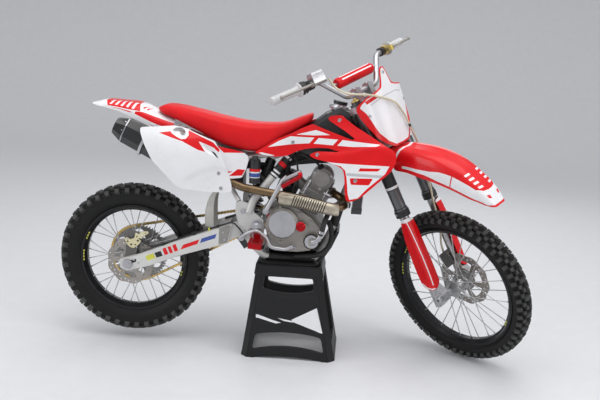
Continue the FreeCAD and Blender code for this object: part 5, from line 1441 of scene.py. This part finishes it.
def add_frame_wraps():
    """Printed sleeves on the seat tubes; dark rubber on the cradle and the lower down tube, and dark parts
    between the tank and the engine, which are black parts with the shade under the tank and the engine
    painted into them."""
    soup = Soup()
    for side in (-1, 1):
        low, high = Vector((-160, side * 90, 606)), Vector((-10, side * 38, 806))
        for start, end, lift, index in TUBE_BANDS:
            soup.rod(low.lerp(high, start), low.lerp(high, end), 15 + lift, 28, index)
        # Dark rubber on the cradle and the lower down tube: rubber, with the shade under the engine painted
        # into it.
        soup.rod((84, side * 62.1, 385.5), (-106, side * 69.9, 385.5), 13.3, 24)
    soup.rod((168, 0, 586), (148, 0, 508), 18, 28)
    for outline, inner, outer in ((BLACK_PARTS_AND_SHADE_UNDER_TANK, -42, 42), (COIL_BOX, 26, 62)):
        grown = rounded(outline, 8)
        centre = sum(grown, Vector((0, 0))) / len(grown)
        rings = []
        for y, share in ((inner, 0.94), (inner + 5, 1), (outer - 5, 1), (outer, 0.94)):
            ring = [centre + (p - centre) * share for p in grown]
            rings.append([Vector((p.x, y, p.y)) for p in ring])
        soup.rings(rings)
    for route, radius in FRAME_HOSES:
        soup.tube(soft_line(route), radius)
    soup.piece("frame_wraps", [black_rubber, white_plastic, red_plastic], "chassis", "black_plastic",
               smooth=35)


CYLINDER_LEAN = math.radians(26)
CYLINDER_UP = Vector((math.sin(CYLINDER_LEAN), 0, math.cos(CYLINDER_LEAN)))
CYLINDER_AHEAD = Vector((math.cos(CYLINDER_LEAN), 0, -math.sin(CYLINDER_LEAN)))
CYLINDER_FOOT = Vector((36, 0, 566))


def on_cylinder(ahead, y, up):
    """A place on the leaning cylinder, from the middle of its foot."""
    return CYLINDER_FOOT + CYLINDER_AHEAD * ahead + CYLINDER_UP * up + Vector((0, y, 0))


def add_cylinder_trim():
    """Ribs and studs of the head, the cam cover's bolted cap, and the hose neck."""
    soup = Soup()
    metal, bright = 1, 2
    half_x, half_y, cut = 54.5, 60.5, 14
    quarter = [(half_x - cut, -half_y), (half_x, -half_y + cut)]
    right_half = quarter + mirrored(quarter)
    outline = right_half + [(-x, y) for x, y in reversed(right_half)]
    for low in (46, 58, 78, 86):
        soup.rings([[on_cylinder(x, y, low + high) for x, y in outline] for high in (0, 4)], bright)
    for ahead in (-38, 38):
        for y in (-58, 58):
            soup.rod(on_cylinder(ahead, y, 46), on_cylinder(ahead, y, 116), 5.5, 14, metal)
            soup.rod(on_cylinder(ahead, y, 116), on_cylinder(ahead, y, 121), 7, 6, metal)
    cap = Vector((96, -58, 698))
    soup.lathe([(6, 42), (9, 41), (10, 33), (12, 30), (12, 0.5)], cap, RIGHT, 48)
    for spot in circle(cap + RIGHT * 9, 37, 3, 20):
        bolt(soup, spot, RIGHT, 4, metal)
    soup.rod(on_cylinder(30, -50, 100), on_cylinder(58, -66, 104), 9, 18, metal)
    soup.piece("cylinder_trim", [cast_alloy, steel, hub_alloy], "chassis", "engine_alloy", smooth=30)


# Brakes, flap and small fittings

def on_circle(radius, angle):
    """A flat place on a circle about the wheel's axis."""
    return radius * math.cos(angle), radius * math.sin(angle)


DISC_THICK = 3.5
DISC_INNER = 47.0
DISC_BORE = 30
WAVE_DEPTH = 2.5
HOLE_RADIUS = 3.2
HOLE_SHARES = (0.3, 0.62, 0.42, 0.75)


def disc_cuts(outer, band, waves):
    """The six windows between a disc's arms, its bore and the holes drilled through its ring."""
    cuts = []
    for k in range(6):
        start, end = math.pi * k / 3 + 0.16, math.pi * (k + 1) / 3 - 0.16
        sweep = [start + (end - start) * n / 8 for n in range(9)]
        window = [on_circle(outer - band, a) for a in sweep]
        window += [on_circle(DISC_INNER, a - 0.12) for a in reversed(sweep)]
        cuts.append(Region(window, None, radius=4))
    cuts.append(Region([on_circle(DISC_BORE, a) for a in turns(32)], None))
    for k in range(4 * waves):
        x, z = on_circle(outer - band * HOLE_SHARES[k % 4], math.pi * (k + 0.3) / (2 * waves))
        cuts.append(Region([(x + u, z + v) for u, v in (on_circle(HOLE_RADIUS, a) for a in turns(8))], None))
    return cuts


def add_discs():
    """Wavy drilled brake rings on their arms, in place of the plain ones."""
    for name, node_name, centre, y, outer, band, waves, body, matrix in (
            ("front_wave_disc", "front_disc", FRONT_AXLE, 58.0, 110.0, 30.0, 10, "front_wheel", STEERED),
            ("rear_wave_disc", "rear_disc", REAR_AXLE, -62.0, 95.0, 26.0, 9, "rear_wheel", SMALL)):
        outline = [on_circle(outer - WAVE_DEPTH * (1 - math.cos(waves * a)), a) for a in turns(12 * waves)]
        side = math.copysign(1, y)

        face = centre + LEFT * (y + side * DISC_THICK / 2)
        painted(name, outline, disc_cuts(outer, band, waves),
                lambda u, v, face=face: face + Vector((u, 0, v)), LEFT * side, [disc_steel], body,
                "disc_steel", replaces=(node_name,), thickness=DISC_THICK, corner=0, spacing=5, matrix=matrix,
                bevel=0)


def add_mud_flap():
    """A pale flap behind the shock, curved along its height and turned forward at both sides."""
    spots = [(648, -300), (628, -318), (604, -334), (576, -345), (546, -351), (514, -352), (484, -350)]
    top, foot = spots[0][0], spots[-1][0]
    rings = []
    for z, back in spots:
        half = 42 + 8 * (top - z) / (top - foot)
        deep = 16 + 20 * smoothstep((top - z) / 120)
        outer = [(back + deep, -half), (back + 8, -half), (back, -half + 10), (back, half - 10),
                 (back + 8, half), (back + deep, half)]
        inner = [(back + deep, half - 3), (back + 9, half - 3), (back + 3, half - 12), (back + 3, -half + 12),
                 (back + 9, -half + 3), (back + deep, -half + 3)]
        rings.append([Vector((x, y, z)) for x, y in outer + inner])
    soup = Soup()
    soup.rings(rings)
    piece = soup.piece("curved_mud_flap", [flap_rubber], "chassis", "flap_rubber", ("mud_flap",), smooth=45)
    add_bevel(piece, 0.8)


def add_brake_line():
    """The front brake's hose from the master cylinder, over the board and down inside the left leg."""
    route = [(18, 926, -153), (30, 884, -150), (60, 846, -130), (104, 818, -92), (122, 786, -44),
             (126, 752, 2), (119, 722, 24), (110, 684, 44), (103, 650, 54), (97, 618, 63), (91, 588, 73),
             (82, 540, 81), (74, 490, 84), (66, 410, 76), (58, 340, 64), (50, 270, 59), (34, 205, 58),
             (14, 160, 59), (6, 122.5, 60)]
    soup = Soup()
    soup.tube(soft_line([steer_point(*point) for point in route], 5), 4, 12)
    for clip in (8, 12):
        start, end = steer_point(*route[clip]), steer_point(*route[clip + 1])
        soup.rod(start, start.lerp(end, 0.3), 5.4, 14, 1)
    soup.piece("front_brake_line", [hose_sleeve, black_rubber], "front_end", "hose_rubber", ("brake_hose",),
               STEERED, 40)


def add_caliper_guard():
    """The rear caliper's pale openwork guard over its dark body."""
    outline = [(-654, 424), (-646, 406), (-634, 394), (-618, 390), (-600, 404), (-592, 414), (-588, 430),
               (-570, 446), (-560, 452), (-564, 459), (-590, 457), (-600, 444), (-612, 452), (-616, 430),
               (-632, 424), (-646, 432)]
    holes = [Region([(x + u, z + v) for u, v in (on_circle(r, a) for a in turns(10))], None)
             for x, z, r in ((-642, 415, 4), (-628, 404, 4.5), (-612, 404, 3.5), (-602, 420, 4.5),
                             (-588, 444, 4), (-572, 451, 2.8), (-606, 436, 3))]
    painted("caliper_guard", outline, holes, lambda x, z: (x, -90.5, z), RIGHT, [guard_gold], "chassis",
            "caliper_paint", thickness=6, corner=3, spacing=6, bevel=0.8)
    soup = Soup()
    for x, z in ((-642, 425), (-606, 396), (-582, 436)):
        soup.rod((x, -83, z), (x, -92, z), 3.2, 12)
    soup.tube(soft_line([(-582, -84, 436), (-576, -80, 430), (-574, -70, 420)]), 4, 10)
    soup.piece("caliper_guard_pins", [steel], "chassis", "steel", smooth=30)


FINS = 18
FIN_LOW = 614
FIN_PITCH = 9.4
RADIATOR_LEAN = 0.056
PEG_TEETH = 6


def add_small_fittings():
    """Radiator fins, peg teeth, the ring round the tank's cap, and the screws of the number board."""
    soup = Soup()
    for side in (-1, 1):
        for k in range(FINS):
            z = FIN_LOW + FIN_PITCH * k
            lead = (z - 608) * RADIATOR_LEAN
            for x, out in ((249.5, AHEAD), (215.5, -AHEAD)):
                soup.block(Vector((x + lead, side * 119, z)), LEFT, UP, out, (50, 3, 4))
        for k in range(PEG_TEETH):
            for x in (-156, -114):
                soup.block(Vector((x, side * (134 + 13.5 * k), 471)), AHEAD, LEFT, UP, (5, 6, 8), top=0.5,
                           index=1)
    soup.lathe([(-8, 27), (-8, 38), (-2, 40), (4, 38), (8, 34), (12, 28)], (146, 0, 966), (0.16, 0, 0.98),
               36, 0)
    soup.piece("fins_and_teeth", [steel, red_metal], "chassis", "radiator_alloy", smooth=30)
    screws = Soup()
    for y, up in ((-100, 742), (100, 742), (0, 868)):
        spot = Vector(plate_place(y, up))
        ahead = Vector(plate_place(y + 2, up)) - Vector(plate_place(y - 2, up))
        rise = Vector(plate_place(y, up + 2)) - Vector(plate_place(y, up - 2))
        out = ahead.cross(rise).normalized()
        screws.lathe([(-1, 6), (0.8, 6), (1.6, 4.5), (1.6, 2.5), (0.6, 2), (0.6, 0.3)], spot, out, 20)
    screws.piece("board_screws", [steel], "front_end", "steel", matrix=STEERED, smooth=30)


def add_panel_screws():
    """The screws that hold the body panels, on both sides."""
    soup = Soup()
    for points, place in (([(-17, 836), (77, 799), (152, 929), (221, 718)], shroud_place),
                          ([(-288, 709), (-278, 653)], side_place)):
        for x, z in points:
            _, y, _ = place(x, z)
            for side in (-1, 1):
                soup.lathe([(-1, 7.5), (0.6, 7.5), (1.4, 5.5), (1.4, 3), (0.4, 2.6), (0.4, 0.3)],
                           (x, -side * y, z), LEFT * side, 20)
    soup.piece("panel_screws", [steel], "chassis", "steel", smooth=30)


# The pieces

add_shrouds()
add_side_panels()
add_rear_fender()
add_front_fender()
add_front_plate()
add_fork_guards()
add_tyre("rear_knobby_tyre", "rear_tyre", 299.0, 98.0, REAR_BEAD_R, 53.0, 42, "rear_wheel",
         SMALL @ Matrix.Translation(REAR_AXLE))
add_tyre("front_knobby_tyre", "front_tyre", 314.0, 76.0, FRONT_BEAD_R, 44.0, 54, "front_wheel",
         STEERED @ Matrix.Translation(FRONT_AXLE))
add_seat()
add_bar_pad()
add_grips()
add_chain()
add_wheel_trim()
add_arm_trim()
add_engine_trim()
add_stand()
add_muffler_trim()
add_shock_trim()
add_fork_trim()
add_bar_trim()
add_panel_screws()
add_heat_shield()
add_frame_wraps()
add_cylinder_trim()
add_discs()
add_mud_flap()
add_brake_line()
add_caliper_guard()
add_small_fittings()


# Floor, light and camera

def add_floor():
    """A pale floor that sweeps up into a wall far behind the bike."""
    profile = [(-9.0, 0.0), (5.0, 0.0)]
    profile += [(5.0 + 3.0 * math.sin(a), 3.0 - 3.0 * math.cos(a)) for a in np.linspace(0.1, math.pi / 2, 14)]
    profile.append((8.0, 12.0))
    vertices = [(x, y, z) for y, z in profile for x in (-20.0, 20.0)]
    faces = [(2 * k, 2 * k + 1, 2 * k + 3, 2 * k + 2) for k in range(len(profile) - 1)]
    mesh = bpy.data.meshes.new("floor")
    mesh.from_pydata(vertices, [], faces)
    mesh.shade_smooth()
    mesh.materials.append(finish("floor_paint", (0.70, 0.71, 0.73), rough=0.6, tint=0.02, grain_depth=0.0))
    floor = bpy.data.objects.new("floor", mesh)
    bpy.context.scene.collection.objects.link(floor)


LIT_PLACE = Vector((0, 0, 0.6))
SOFTBOXES = [("top_box", (0.2, -0.6, 3.2), (3.2, 2.2), 46), ("left_box", (-3.2, -1.6, 1.6), (1.2, 2.4), 28),
             ("right_box", (3.2, -1.8, 1.8), (1.2, 2.4), 28), ("back_box", (0.4, 3.2, 2.2), (2.6, 1.6), 20)]


def add_softbox(name, place, size, power):
    """A flat lamp that faces the bike."""
    data = bpy.data.lights.new(name, "AREA")
    data.shape = "RECTANGLE"
    data.size, data.size_y = size
    data.energy = power
    lamp = bpy.data.objects.new(name, data)
    lamp.location = place
    lamp.rotation_euler = (LIT_PLACE - Vector(place)).to_track_quat("-Z", "Y").to_euler()
    bpy.context.scene.collection.objects.link(lamp)


def add_world():
    """A studio sky, darker below for reflections, and even where the camera sees it."""
    world = bpy.data.worlds.new("studio")
    bpy.context.scene.world = world
    world.use_nodes = True
    tree = world.node_tree
    background = tree.nodes["Background"]
    place = node(tree, "ShaderNodeTexCoord")
    split = node(tree, "ShaderNodeSeparateXYZ")
    tree.links.new(place.outputs["Generated"], split.inputs["Vector"])
    ramp = node(tree, "ShaderNodeValToRGB")
    ramp.color_ramp.elements[0].position = 0.35
    ramp.color_ramp.elements[0].color = (0.26, 0.27, 0.28, 1)
    ramp.color_ramp.elements[1].position = 0.95
    ramp.color_ramp.elements[1].color = (0.95, 0.95, 0.97, 1)
    lift = node(tree, "ShaderNodeMapRange")
    lift.inputs["From Min"].default_value = -1.0
    tree.links.new(split.outputs["Z"], lift.inputs["Value"])
    tree.links.new(lift.outputs["Result"], ramp.inputs["Fac"])
    rays = node(tree, "ShaderNodeLightPath")
    choose = node(tree, "ShaderNodeMix")
    choose.data_type = "RGBA"
    choose.inputs[7].default_value = (0.8, 0.81, 0.83, 1)
    tree.links.new(rays.outputs["Is Camera Ray"], choose.inputs[0])
    tree.links.new(ramp.outputs["Color"], choose.inputs[6])
    tree.links.new(choose.outputs[2], background.inputs["Color"])
    background.inputs["Strength"].default_value = 0.86


CAMERA_LENS = 48.447
CAMERA_PLACE = Vector((0.2077, -3.0651, 1.2274))
CAMERA_RIGHT = Vector((0.9963, 0.0728, 0.0455))
CAMERA_AHEAD = Vector((-0.0623, 0.9778, -0.2001))


def add_camera():
    """The photo's camera, as fitted to both wheels."""
    data = bpy.data.cameras.new("camera")
    data.sensor_width = 36.0
    data.lens = CAMERA_LENS
    camera = bpy.data.objects.new("camera", data)
    right, forward = CAMERA_RIGHT.normalized(), CAMERA_AHEAD.normalized()
    turn = Matrix((right, right.cross(forward).normalized(), -forward)).transposed()
    camera.matrix_world = Matrix.Translation(CAMERA_PLACE) @ turn.to_4x4()
    bpy.context.scene.collection.objects.link(camera)
    bpy.context.scene.camera = camera


add_floor()
add_world()
for softbox in SOFTBOXES:
    add_softbox(*softbox)
add_camera()
bpy.context.scene.view_settings.view_transform = "Standard"
